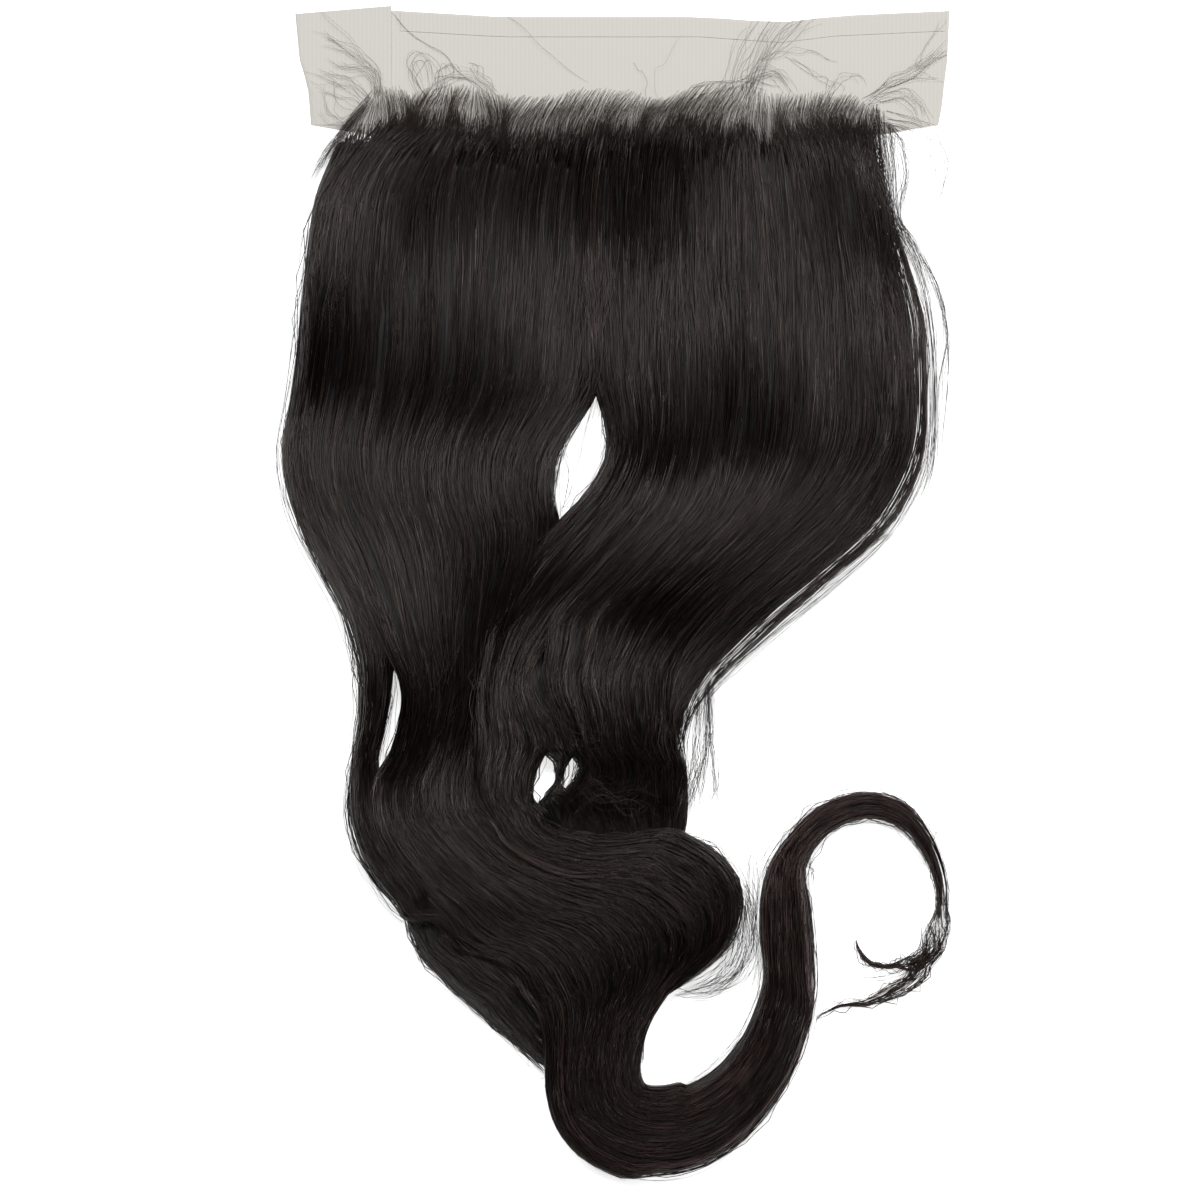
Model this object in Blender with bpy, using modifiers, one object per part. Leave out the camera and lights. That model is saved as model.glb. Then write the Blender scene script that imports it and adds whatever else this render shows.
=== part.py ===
"""Lace frontal hairpiece, laid out flat: a fine lace base with long waved hair knotted to it.

The frame is in metres with +Z up. The origin is on the underside of the lace, at the middle of the
hairline. +Y runs from the hairline to the bare front edge of the lace, and the hair falls along -Y.
Tables are in millimetres, seen from above.
"""

import math
from collections import namedtuple

import bmesh
import bpy

MM = 0.001

# Driving dimensions, in millimetres
LACE_THICK = 1.0
FRONT_STRIP = 40.0
KNOTTED_DEPTH = 101.0
FLAP_LIFT = 0.7
HEM_DEPTH = 8.0
HEM_THICK = 0.8
HEM_REACH = (-101.0, 144.0)
REST_GAP = 0.3
SEAM_GAP = 0.3

# Finishes: colour, roughness
HAIR_BLACK = ((0.012, 0.010, 0.009, 1.0), 0.42)
LACE_IVORY = ((0.80, 0.78, 0.73, 1.0), 0.80)

# A row for each section across a lock, from root to tip: where its two edges lie, the height of its
# underside, the height of its crown, and how much the right side stands higher than the left.
Section = namedtuple("Section", "left_x left_y right_x right_y base crown lean")

# How a lock is lofted: rings between two rows, points over its top, and rounded ridges across it.
Loft = namedtuple("Loft", "steps top_points ridges ridge_depth")

ON_LACE = LACE_THICK + 0.4
ON_FLAP = 2 * LACE_THICK + FLAP_LIFT + 0.4

LEFT_EDGE = [
    Section(-121, 1, -104, -1, ON_FLAP, 5.0, 0.5),
    Section(-127, -10.5, -104.5, -10.5, ON_FLAP, 8.0, 0.5),
    Section(-133, -22, -117, -22, ON_LACE, 8.5, 1.0),
    Section(-141, -42, -128, -42, 0.0, 9.0, 1.5),
    Section(-145, -70, -131, -70, 0.0, 10.0, 2.0),
    Section(-148, -100, -134, -100, 0.0, 11.0, 2.0),
    Section(-152, -130, -138, -130, 0.0, 8.0, 1.5),
    Section(-156, -157, -141, -157, 0.0, 6.0, 1.5),
    Section(-151, -183, -136, -180, 0.0, 6.5, 1.5),
    Section(-139, -207, -124, -203, 0.0, 8.0, 1.0),
    Section(-127, -230, -112, -227, 0.0, 9.5, 1.0),
    Section(-120, -255, -104, -253, 0.0, 10.0, 0.5),
    Section(-120, -278, -106.5, -278, 0.0, 9.0, 0.0),
    Section(-124, -300, -112, -300, 0.0, 9.0, 1.0),
    Section(-125, -320, -112, -318, 0.0, 11.0, 2.0),
    Section(-119, -340, -106, -334, 0.0, 12.0, 2.0),
    Section(-109, -355, -96, -348, 0.0, 10.0, 2.0),
    Section(-98, -366, -88, -362, 0.0, 7.0, 1.0),
]

LEFT_FALL = [
    Section(-104, -1, -13, 1, ON_LACE, 3.5, 0.0),
    Section(-104.5, -10.5, -13, -10.5, ON_LACE, 7.0, 0.0),
    Section(-117, -22, -13, -22, ON_LACE, 9.5, 0.5),
    Section(-127, -42, -13, -42, ON_LACE, 11.0, 1.0),
    Section(-130, -70, -13, -70, ON_LACE, 13.5, 1.0),
    Section(-133, -100, -13, -100, ON_LACE, 16.5, 1.0),
    Section(-137, -130, -14, -134, 0.0, 11.5, 1.0),
    Section(-140, -157, -29, -160, 0.0, 8.5, -1.0),
    Section(-135, -180, -32, -184, 0.0, 10.0, -1.5),
    Section(-123, -203, -46, -204, 0.0, 12.5, -1.5),
    Section(-111, -227, -60, -229, 0.0, 16.0, -1.0),
    Section(-102, -253, -65, -254, 0.0, 17.0, 0.0),
    Section(-101, -272, -68, -272, 0.0, 15.0, 1.0),
    Section(-105, -288, -69, -288, 0.0, 13.0, 1.0),
    Section(-111, -303, -69, -303, 0.0, 13.0, 1.0),
    Section(-111, -318, -63, -318, 0.0, 16.0, 1.0),
    Section(-105, -334, -51, -331, 0.0, 18.5, 0.5),
    Section(-95, -348, -34, -341, 0.0, 19.0, 0.5),
    Section(-86, -365, -15, -346, 0.0, 18.5, 1.5),
    Section(-72, -379, 5, -348, 0.0, 18.5, 2.5),
    Section(-58, -387, 21, -356, 0.0, 18.5, 2.0),
    Section(-46, -396, 29, -368, 0.0, 18.0, 1.0),
    Section(-38, -406, 27, -382, 0.0, 17.0, 0.0),
    Section(-34, -418, 17, -397, 0.0, 16.5, -0.5),
    Section(-33, -432, 8, -414, 0.0, 17.0, -0.5),
    Section(-32, -445, 4, -430, 0.0, 18.0, 0.0),
]

TAIL = [
    Section(-31.5, -447, 4, -431, 0.0, 18.0, 0.0),
    Section(-26, -461, 6, -441, 0.0, 18.5, 0.5),
    Section(-14, -473, 14, -443, 0.0, 18.0, 1.0),
    Section(4, -481, 24, -441.5, 0.0, 17.5, 1.0),
    Section(24, -481, 34, -437, 0.0, 17.0, 0.5),
    Section(44, -473, 44, -429, 0.0, 16.5, 0.0),
    Section(62, -457, 52, -418, 0.0, 16.0, 0.0),
    Section(76, -436, 58, -404, 0.0, 15.5, 0.0),
    Section(84, -411, 61, -390, 0.0, 15.0, 0.0),
    Section(85.5, -386, 59, -372, 0.0, 14.0, 0.0),
    Section(84, -362, 60, -352, 0.0, 13.0, 0.0),
    Section(81.5, -344, 66, -336, 0.0, 11.5, 0.0),
    Section(88, -332, 79, -321, 0.0, 10.0, 0.0),
    Section(99, -324, 93, -312, 0.0, 9.0, 0.0),
    Section(112, -321.5, 109, -309, 0.0, 8.5, 0.0),
    Section(125, -327, 126, -314, 0.0, 8.0, 0.0),
    Section(135, -340, 139, -330, 0.0, 7.5, 0.0),
    Section(139.5, -356, 145, -350, 0.0, 7.0, 0.0),
    Section(138.5, -369, 144, -368, 0.0, 6.0, 0.0),
    Section(135, -378, 139, -382, 0.0, 5.0, 0.0),
]

UPPER_TIP = [
    Section(134.7, -378.3, 136.9, -380.5, 0.0, 3.6, 0.0),
    Section(127, -382, 128, -386, 0.0, 3.2, 0.0),
    Section(119, -385, 118, -388.5, 0.0, 2.8, 0.0),
    Section(111, -384, 109, -387, 0.0, 2.4, 0.0),
    Section(106.5, -379, 104, -380, 0.0, 1.8, 0.0),
]

LOWER_TIP = [
    Section(137.1, -380.7, 138.9, -382.5, 0.0, 3.6, 0.0),
    Section(135, -387, 138, -388, 0.0, 3.6, 0.0),
    Section(131, -392, 135, -394, 0.0, 3.4, 0.0),
    Section(121, -398.5, 122.5, -402.5, 0.0, 3.0, 0.0),
    Section(109, -402.5, 109, -406, 0.0, 2.6, 0.0),
    Section(97, -404, 96.5, -407, 0.0, 2.2, 0.0),
    Section(89, -408.5, 88, -410.5, 0.0, 1.8, 0.0),
]

CROSS_LOCK = [
    Section(-13, 1, 20, 1, ON_LACE, 3.5, 0.0),
    Section(-13, -10.5, 20, -10.5, ON_LACE, 7.0, 0.0),
    Section(-13, -22, 20, -22, ON_LACE, 10.5, 0.0),
    Section(-13, -42, 20, -42, ON_LACE, 11.0, 0.0),
    Section(-13, -70, 20, -70, ON_LACE, 12.5, 0.5),
    Section(-13, -100, 20, -100, ON_LACE, 16.5, 1.0),
    Section(-12, -134, 20, -134, 0.0, 16.0, 1.0),
    Section(-10.5, -158, 17, -160, 0.0, 11.5, 1.0),
    Section(-25, -181, 9, -183, 0.0, 12.0, 0.5),
    Section(-46, -204, -12, -209, 0.0, 17.0, 1.0),
    Section(-60, -229, -32, -233, 0.0, 16.5, 2.0),
    Section(-65, -254, -46, -257, 0.0, 19.0, 2.0),
    Section(-68, -272, -43, -273, 0.0, 21.5, 1.0),
    Section(-69, -288, -37, -288, 0.0, 20.5, -1.0),
    Section(-69, -303, -40, -303, 0.0, 18.0, -2.0),
    Section(-63, -318, -40.5, -314, 0.0, 17.0, -2.0),
    Section(-51, -331, -32, -322.5, 0.0, 18.0, -1.0),
    Section(-34, -341, -18, -327.5, 0.0, 20.0, 0.0),
    Section(-15, -346, 0, -327.5, 0.0, 21.0, 0.0),
    Section(5, -348, 20, -325.5, 0.0, 21.5, -0.5),
    Section(21, -356, 41, -334, 0.0, 21.0, -1.0),
    Section(29, -368, 53, -352, 0.0, 19.0, -1.5),
    Section(27, -382, 50, -374, 0.0, 16.0, -1.5),
    Section(17, -397, 34, -390, 0.0, 13.0, -1.0),
    Section(11, -407.5, 17, -404, 0.0, 10.0, 0.0),
]

PARTED_LOCK = [
    Section(-37.5, -244, -34, -244, 0.0, 10.0, 0.0),
    Section(-45, -258, -36, -260, 0.0, 15.0, 0.5),
    Section(-42, -273, -31, -275, 0.0, 15.0, 0.5),
    Section(-35.5, -288, -26, -288, 0.0, 11.5, 0.0),
    Section(-32.5, -300, -27.5, -300, 0.0, 8.0, 0.0),
    Section(-37, -313, -30, -313, 0.0, 6.5, 0.0),
    Section(-31, -320, -24, -317.5, 0.0, 5.0, 0.0),
]

RIGHT_FALL = [
    Section(20, 1, 101, -1, ON_LACE, 3.5, 0.0),
    Section(20, -10.5, 103, -10.5, ON_LACE, 7.0, 0.0),
    Section(20, -22, 105.5, -22, ON_LACE, 11.0, -0.5),
    Section(20, -42, 109, -42, ON_LACE, 11.5, -1.0),
    Section(20, -70, 113, -70, ON_LACE, 13.5, -1.5),
    Section(20, -100, 116, -100, ON_LACE, 18.0, -2.0),
    Section(20, -134, 117, -132, 0.0, 17.5, -2.0),
    Section(17, -160, 114, -155, 0.0, 12.0, -1.5),
    Section(9, -183, 100, -178, 0.0, 12.5, -1.0),
    Section(-12, -209, 74, -202, 0.0, 18.0, -1.5),
    Section(-32, -233, 46, -226, 0.0, 19.0, -2.0),
    Section(-35, -259, 27, -250, 0.0, 22.5, -3.0),
    Section(-30, -274, 23, -271, 0.0, 23.0, -2.0),
    Section(-25, -288, 23.5, -288, 0.0, 19.0, 0.0),
    Section(-21, -300, 24.5, -302, 0.0, 14.0, 0.0),
    Section(-25, -312, 25, -313, 0.0, 10.5, 0.0),
    Section(-17, -325.5, 24, -323.5, 0.0, 7.0, 0.0),
]

RIGHT_EDGE = [
    Section(101, -1, 113, -6, ON_LACE, 3.5, -0.5),
    Section(103, -10.5, 113.5, -14, ON_LACE, 6.0, -0.5),
    Section(105.5, -22, 115, -24, ON_LACE, 8.5, -1.0),
    Section(109, -42, 118, -45, ON_LACE, 9.5, -1.5),
    Section(113, -70, 127, -70, ON_LACE, 11.0, -2.5),
    Section(116, -100, 135, -98, ON_LACE, 12.0, -3.0),
    Section(117, -132, 137.5, -132, 0.0, 9.0, -2.0),
    Section(114, -155, 135, -162, 0.0, 6.5, -1.5),
    Section(100, -178, 120, -192, 0.0, 8.0, -1.5),
    Section(74, -202, 96, -215, 0.0, 10.0, -2.0),
    Section(46, -226, 66, -239, 0.0, 11.0, -2.5),
    Section(27, -250, 44, -258, 0.0, 11.0, -2.5),
    Section(23, -271, 31, -274, 0.0, 8.0, -1.0),
    Section(23.5, -287, 27.5, -287, 0.0, 4.0, 0.0),
]

UNDER_LOCK = [
    Section(-97, -369.5, -86, -365, 0.0, 6.0, 0.5),
    Section(-93, -382, -72, -379, 0.0, 8.5, 1.0),
    Section(-84, -394, -58, -387, 0.0, 9.5, 1.0),
    Section(-70, -407, -46, -396, 0.0, 10.0, 1.0),
    Section(-56, -419, -38, -406, 0.0, 9.5, 0.5),
    Section(-44, -429, -34, -418, 0.0, 8.5, 0.0),
    Section(-36.5, -435, -33, -432, 0.0, 6.0, 0.0),
]

LOCKS = {
    "hair_left_edge": (LEFT_EDGE, Loft(2, 6, 1, 0.0)),
    "hair_left_fall": (LEFT_FALL, Loft(2, 14, 4, 0.07)),
    "hair_tail": (TAIL, Loft(2, 8, 2, 0.06)),
    "hair_upper_tip": (UPPER_TIP, Loft(3, 4, 1, 0.0)),
    "hair_lower_tip": (LOWER_TIP, Loft(3, 4, 1, 0.0)),
    "hair_cross_lock": (CROSS_LOCK, Loft(2, 8, 2, 0.06)),
    "hair_parted_lock": (PARTED_LOCK, Loft(2, 5, 1, 0.0)),
    "hair_right_fall": (RIGHT_FALL, Loft(2, 14, 4, 0.07)),
    "hair_right_edge": (RIGHT_EDGE, Loft(2, 6, 1, 0.0)),
    "hair_under_lock": (UNDER_LOCK, Loft(2, 6, 1, 0.0)),
}

# A row for each line across the lace, from the front edge back: its height in the sheet, where the
# sheet's left fold and right edge lie, and where the folded-over flap starts and ends. The flap
# leaves the fold on a slant below the front strip, and there is none on the knotted part.
LaceRow = namedtuple("LaceRow", "y fold_x right_x flap_fold_x flap_end_x")

LACE_FRONT = [
    LaceRow(41.0, -147, 146, -147, -105),
    LaceRow(30.0, -146, 145.5, -146, -105),
    LaceRow(20.0, -145, 145, -145, -105),
    LaceRow(8.0, -142.5, 143.5, -140, -105),
    LaceRow(-1.0, -141.5, 142.5, -134, -105.5),
    LaceRow(-9.0, -141, 141, -129, -106),
]

# The knotted part under the hair: y, left edge, right edge.
KnottedRow = namedtuple("KnottedRow", "y left_x right_x")

LACE_KNOTTED = [
    KnottedRow(-14.0, -113, 112),
    KnottedRow(-40.0, -112, 110),
    KnottedRow(-70.0, -110, 108),
    KnottedRow(-92.0, -104, 102),
    KnottedRow(-KNOTTED_DEPTH, -95, 94),
]

# How far the front edge of the lace stands above or below its mean line, along x.
EdgeWave = namedtuple("EdgeWave", "x rise")

FRONT_EDGE = [
    EdgeWave(-147, 0.0),
    EdgeWave(-105, 1.5),
    EdgeWave(-56, -1.4),
    EdgeWave(7, -1.4),
    EdgeWave(34, -1.4),
    EdgeWave(70, -4.0),
    EdgeWave(95, -1.0),
    EdgeWave(146, 1.3),
]
FLAP_FRONT_RISE = 3.5

SHEET_COLUMNS = 20
FOLD_STEPS = 4
FLAP_COLUMNS = 5


def clear_scene():
    for old in list(bpy.data.objects):
        bpy.data.objects.remove(old)


def new_material(name, finish):
    colour, roughness = finish
    material = bpy.data.materials.new(name)
    material.use_nodes = True
    shader = material.node_tree.nodes["Principled BSDF"]
    shader.inputs["Base Color"].default_value = colour
    shader.inputs["Roughness"].default_value = roughness
    shader.inputs["Metallic"].default_value = 0.0
    return material


def add_object(name, mesh, material, collection):
    mesh.materials.append(material)
    part = bpy.data.objects.new(name, mesh)
    collection.objects.link(part)
    return part


def add_sheet(name, shape, thickness, material, collection):
    """An open sheet of cloth as an object, with a Solidify that gives it its wall."""
    bmesh.ops.recalc_face_normals(shape, faces=shape.faces)
    mesh = bpy.data.meshes.new(name)
    shape.to_mesh(mesh)
    shape.free()
    sheet = add_object(name, mesh, material, collection)
    wall = sheet.modifiers.new("cloth", "SOLIDIFY")
    wall.thickness = thickness * MM
    wall.offset = 0.0
    return sheet


def curve_through(before, start, end, after, t):
    """One number of a Catmull-Rom curve that runs from start to end."""
    return 0.5 * (
        2 * start
        + (end - before) * t
        + (2 * before - 5 * start + 4 * end - after) * t * t
        + (3 * start - before - 3 * end + after) * t ** 3
    )


def smooth_rows(rows, steps):
    """The rows with steps sections for each stretch between two rows, on smooth curves."""
    found = []
    for i in range(len(rows) - 1):
        before = rows[max(i - 1, 0)]
        after = rows[min(i + 2, len(rows) - 1)]
        for step in range(steps):
            t = step / steps
            values = [
                curve_through(b, s, e, a, t) for b, s, e, a in zip(before, rows[i], rows[i + 1], after)
            ]
            section = Section(*values)
            level = rows[i].base + (rows[i + 1].base - rows[i].base) * t
            found.append(section._replace(base=level))
    found.append(rows[-1])
    return found


def section_ring(section, loft):
    """The closed outline of one section: over its rounded top from left to right, then back below."""
    width = math.hypot(section.right_x - section.left_x, section.right_y - section.left_y)
    inset = SEAM_GAP / width
    thick = section.crown - section.base
    edge_z = section.base + 0.32 * thick

    def point(across, z):
        share = inset + (1 - 2 * inset) * (across + 1) / 2
        x = section.left_x + (section.right_x - section.left_x) * share
        y = section.left_y + (section.right_y - section.left_y) * share
        return (x * MM, y * MM, z * MM)

    ring = []
    for k in range(loft.top_points + 1):
        turn = math.pi * k / loft.top_points
        across = -math.cos(turn)
        groove = loft.ridge_depth * abs(math.cos(math.pi * loft.ridges * (across + 1) / 2))
        top = section.crown + section.lean * across - groove * thick * (1 - across * across)
        ring.append(point(across, edge_z + (top - edge_z) * math.sin(turn) ** 0.62))
    for across in (0.82, 0.0, -0.82):
        ring.append(point(across, section.base))
    return ring


def loft_lock(rows, loft):
    """A lock of hair as one closed solid, with a ring for each section and a cap at each end."""
    shape = bmesh.new()
    rings = []
    for section in smooth_rows(rows, loft.steps):
        rings.append([shape.verts.new(p) for p in section_ring(section, loft)])
    count = len(rings[0])
    for ring, following in zip(rings, rings[1:]):
        for k in range(count):
            after = (k + 1) % count
            shape.faces.new((ring[k], ring[after], following[after], following[k]))
    shape.faces.new(rings[0][::-1])
    shape.faces.new(rings[-1])
    bmesh.ops.recalc_face_normals(shape, faces=shape.faces)
    bmesh.ops.triangulate(shape, faces=shape.faces)
    mesh = bpy.data.meshes.new("lock")
    shape.to_mesh(mesh)
    shape.free()
    mesh.shade_smooth()
    return mesh


def edge_rise(x):
    """How far the front edge of the lace rises at x, on straight runs between the measured places."""
    for here, there in zip(FRONT_EDGE, FRONT_EDGE[1:]):
        if x <= there.x:
            share = (x - here.x) / (there.x - here.x)
            return here.rise + (there.rise - here.rise) * share
    return FRONT_EDGE[-1].rise


def front_share(y):
    """1 at the front edge of the lace, falling to 0 at the foot of the front strip."""
    return max(0.0, min(1.0, y / FRONT_STRIP)) ** 2


def sheet_line(row):
    """The points of the front strip along one row: the sheet from right to left, the fold, the flap."""
    share = front_share(row.y)
    low = LACE_THICK / 2
    high = low + LACE_THICK + FLAP_LIFT
    line = []
    for k in range(SHEET_COLUMNS + 1):
        x = row.right_x + (row.fold_x - row.right_x) * k / SHEET_COLUMNS
        line.append((x, row.y + edge_rise(x) * share, low))
    fold_radius = (high - low) / 2
    for k in range(1, FOLD_STEPS):
        turn = math.pi * k / FOLD_STEPS
        x = row.fold_x + (row.flap_fold_x - row.fold_x) * k / FOLD_STEPS
        line.append((x - fold_radius * math.sin(turn), row.y, (low + high) / 2 - fold_radius * math.cos(turn)))
    for k in range(FLAP_COLUMNS + 1):
        across = k / FLAP_COLUMNS
        x = row.flap_fold_x + (row.flap_end_x - row.flap_fold_x) * across
        line.append((x, row.y + FLAP_FRONT_RISE * across * share, high))
    return line


def knotted_line(row):
    """The points of the knotted part along one row, in step with the sheet's columns."""
    span = row.left_x - row.right_x
    return [(row.right_x + span * k / SHEET_COLUMNS, row.y, LACE_THICK / 2) for k in range(SHEET_COLUMNS + 1)]


def make_lace(material, collection):
    """The lace base: one sheet with its left end folded over on top, given its thickness."""
    shape = bmesh.new()
    lines = []
    for line in [sheet_line(row) for row in LACE_FRONT] + [knotted_line(row) for row in LACE_KNOTTED]:
        lines.append([shape.verts.new([value * MM for value in p]) for p in line])
    for line, following in zip(lines, lines[1:]):
        for k in range(min(len(line), len(following)) - 1):
            shape.faces.new((line[k], following[k], following[k + 1], line[k + 1]))
    return add_sheet("lace_base", shape, LACE_THICK, material, collection)


def make_hem(material, collection):
    """The front edge of the lace turned back on itself: a narrow band along the front edge."""
    left, right = HEM_REACH
    level = (LACE_THICK + REST_GAP + HEM_THICK / 2) * MM
    shape = bmesh.new()
    pairs = []
    for k in range(SHEET_COLUMNS + 1):
        x = left + (right - left) * k / SHEET_COLUMNS
        front = FRONT_STRIP + edge_rise(x)
        pairs.append([shape.verts.new((x * MM, y * MM, level)) for y in (front, front - HEM_DEPTH)])
    for (front, back), (next_front, next_back) in zip(pairs, pairs[1:]):
        shape.faces.new((front, back, next_back, next_front))
    return add_sheet("lace_hem", shape, HEM_THICK, material, collection)


def main():
    clear_scene()
    collection = bpy.data.collections.new("lace_frontal")
    bpy.context.scene.collection.children.link(collection)
    make_lace(new_material("lace_base_net", LACE_IVORY), collection)
    make_hem(new_material("lace_hem_net", LACE_IVORY), collection)
    for name, (rows, loft) in LOCKS.items():
        add_object(name, loft_lock(rows, loft), new_material(name + "_strands", HAIR_BLACK), collection)


main()
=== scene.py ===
import math
from collections import namedtuple

import bpy
import numpy as np
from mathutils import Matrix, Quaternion, Vector
from mathutils.bvhtree import BVHTree


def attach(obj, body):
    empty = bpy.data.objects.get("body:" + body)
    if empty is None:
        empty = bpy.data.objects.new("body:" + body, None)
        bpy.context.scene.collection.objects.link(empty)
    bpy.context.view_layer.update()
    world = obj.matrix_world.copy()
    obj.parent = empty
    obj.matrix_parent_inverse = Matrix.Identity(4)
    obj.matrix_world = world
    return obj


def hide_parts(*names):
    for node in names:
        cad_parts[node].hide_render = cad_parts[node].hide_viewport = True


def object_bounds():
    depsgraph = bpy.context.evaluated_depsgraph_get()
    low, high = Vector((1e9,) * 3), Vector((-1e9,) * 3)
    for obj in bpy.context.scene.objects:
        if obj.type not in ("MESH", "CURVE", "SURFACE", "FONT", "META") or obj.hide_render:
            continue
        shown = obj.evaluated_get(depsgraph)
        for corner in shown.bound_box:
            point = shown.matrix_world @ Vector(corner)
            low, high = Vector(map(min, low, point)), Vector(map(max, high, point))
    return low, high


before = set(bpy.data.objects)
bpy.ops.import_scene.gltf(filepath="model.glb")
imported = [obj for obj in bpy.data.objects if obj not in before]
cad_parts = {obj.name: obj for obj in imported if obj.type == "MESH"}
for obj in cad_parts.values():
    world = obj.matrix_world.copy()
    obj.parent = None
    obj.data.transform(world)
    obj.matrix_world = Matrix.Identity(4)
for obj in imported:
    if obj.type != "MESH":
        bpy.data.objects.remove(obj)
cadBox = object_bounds()
bpy.ops.object.select_all(action="DESELECT")
mm = 0.001
print("frame loaded:", len(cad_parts), "nodes")

# The camera looks straight down on the laid-out piece. widthMm is what the picture takes in at table height.
cameraView = {
    "centreXmm": -11.25, "centreYmm": -222.75, "widthMm": 540.0, "heightMm": 2600.0, "sensorMm": 36.0,
}


def addCamera(view):
    spot = (view["centreXmm"] * mm, view["centreYmm"] * mm, view["heightMm"] * mm)
    bpy.ops.object.camera_add(location=spot, rotation=(0.0, 0.0, 0.0))
    camera = bpy.context.object
    camera.data.sensor_width = view["sensorMm"]
    camera.data.lens = view["sensorMm"] * view["heightMm"] / view["widthMm"]
    camera.data.clip_end = 20.0
    bpy.context.scene.camera = camera


addCamera(cameraView)

# Soft boxes: place and size in millimetres, turn about the aim in degrees, power in watts
aimMm = (0, -215, 0)
softBoxes = {
    "frontBox": {"at": (-150, 900, 2600), "size": (2400, 560), "spin": 0, "power": 64.0},
    "crossBox": {"at": (1300, 260, 2350), "size": (1200, 360), "spin": -45, "power": 17.0},
    "sideBox": {"at": (2300, -300, 1500), "size": (900, 1800), "spin": 0, "power": 6.0},
    "footBox": {"at": (-900, -2300, 1500), "size": (1800, 700), "spin": 0, "power": 5.0},
}
roomLight = {"colour": (1.0, 1.0, 1.0), "strength": 0.05}
table = {"size": 6.0, "colour": (0.90, 0.90, 0.90), "glow": 0.75}


def addSoftBox(name, box):
    at = Vector(box["at"]) * mm
    way = Vector(aimMm) * mm - at
    turn = way.to_track_quat("-Z", "Y") @ Quaternion((0.0, 0.0, 1.0), math.radians(box["spin"]))
    bpy.ops.object.light_add(type="AREA", location=at, rotation=turn.to_euler())
    lamp = bpy.context.object
    lamp.name = name
    lamp.data.shape = "RECTANGLE"
    lamp.data.size = box["size"][0] * mm
    lamp.data.size_y = box["size"][1] * mm
    lamp.data.energy = box["power"]


def addRoom(room, top):
    world = bpy.data.worlds.new("studio")
    world.use_nodes = True
    background = world.node_tree.nodes["Background"]
    background.inputs["Color"].default_value = (*room["colour"], 1.0)
    background.inputs["Strength"].default_value = room["strength"]
    bpy.context.scene.world = world
    bpy.ops.mesh.primitive_plane_add(size=top["size"], location=(0.0, 0.0, -0.0004))
    floor = bpy.context.object
    floor.name = "table_top"
    paint = bpy.data.materials.new("paleTable")
    paint.use_nodes = True
    shader = paint.node_tree.nodes["Principled BSDF"]
    shader.inputs["Base Color"].default_value = (*top["colour"], 1.0)
    shader.inputs["Roughness"].default_value = 0.9
    shader.inputs["Specular IOR Level"].default_value = 0.1
    shader.inputs["Emission Color"].default_value = (1.0, 1.0, 1.0, 1.0)
    shader.inputs["Emission Strength"].default_value = top["glow"]
    floor.data.materials.append(paint)


for boxName, boxSizes in softBoxes.items():
    addSoftBox(boxName, boxSizes)
addRoom(roomLight, table)
bpy.context.scene.view_settings.view_transform = "Standard"
print("camera, lights and table placed")

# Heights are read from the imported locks, on a grid over the whole piece.
grid = {"stepMm": 1.5, "marginMm": 14.0, "closeMm": 7.5, "blurMm": 2.4}


class GridMap:
    def at(self, x, y):
        column = np.clip((x - self.x0) / self.step, 0, self.cells.shape[1] - 1.001)
        row = np.clip((y - self.y0) / self.step, 0, self.cells.shape[0] - 1.001)
        c, r = column.astype(int), row.astype(int)
        s, t = column - c, row - r
        low = self.cells[r, c] * (1 - s) + self.cells[r, c + 1] * s
        high = self.cells[r + 1, c] * (1 - s) + self.cells[r + 1, c + 1] * s
        return low * (1 - t) + high * t


class HeightMap(GridMap):
    def __init__(self, nodes, closeMm, blurMm, growMm=0.0):
        corners = []
        faces = []
        for node in nodes:
            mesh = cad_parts[node].data
            start = len(corners)
            corners += [v.co.copy() for v in mesh.vertices]
            faces += [[start + i for i in p.vertices] for p in mesh.polygons]
        tree = BVHTree.FromPolygons(corners, faces)
        low, high = Vector(cadBox[0]) / mm, Vector(cadBox[1]) / mm
        self.step = grid["stepMm"]
        self.x0 = low.x - grid["marginMm"]
        self.y0 = low.y - grid["marginMm"]
        columns = int((high.x + grid["marginMm"] - self.x0) / self.step) + 2
        rows = int((high.y + grid["marginMm"] - self.y0) / self.step) + 2
        self.cells = np.zeros((rows, columns))
        for row in range(rows):
            for column in range(columns):
                spot = Vector((self.x0 + column * self.step, self.y0 + row * self.step, 100.0)) * mm
                hit = tree.ray_cast(spot, Vector((0.0, 0.0, -1.0)))[0]
                if hit is not None:
                    self.cells[row, column] = hit.z / mm
        if growMm:
            self.cells = spreadMost(self.cells, int(round(growMm / self.step)))
        reach = int(round(closeMm / self.step))
        if reach:
            self.cells = -spreadMost(-spreadMost(self.cells, reach), reach)
        for turn in range(3):
            self.cells = blurred(self.cells, max(1, int(round(blurMm / self.step))))


def spreadMost(cells, reach):
    # The highest value within reach cells, along the rows and then along the columns
    for axis in (0, 1):
        found = cells.copy()
        for shift in range(-reach, reach + 1):
            found = np.maximum(found, np.roll(cells, shift, axis))
        cells = found
    return cells


def blurred(cells, reach):
    for axis in (0, 1):
        cells = sum(np.roll(cells, shift, axis) for shift in range(-reach, reach + 1)) / (2 * reach + 1)
    return cells


fallNodes = [
    "hair_left_edge", "hair_left_fall", "hair_tail",
    "hair_cross_lock", "hair_parted_lock", "hair_right_fall", "hair_right_edge",
]
allHair = HeightMap(fallNodes, grid["closeMm"], grid["blurMm"], growMm=4.5)
underHair = HeightMap(["hair_under_lock"], 0.0, 1.5, growMm=9.0)
tipHair = HeightMap(["hair_upper_tip", "hair_lower_tip", "hair_tail"], 0.0, 1.5)
laceTop = HeightMap(["lace_base", "lace_hem"], 0.0, 0.0)
print("heights read from the packed locks")

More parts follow.
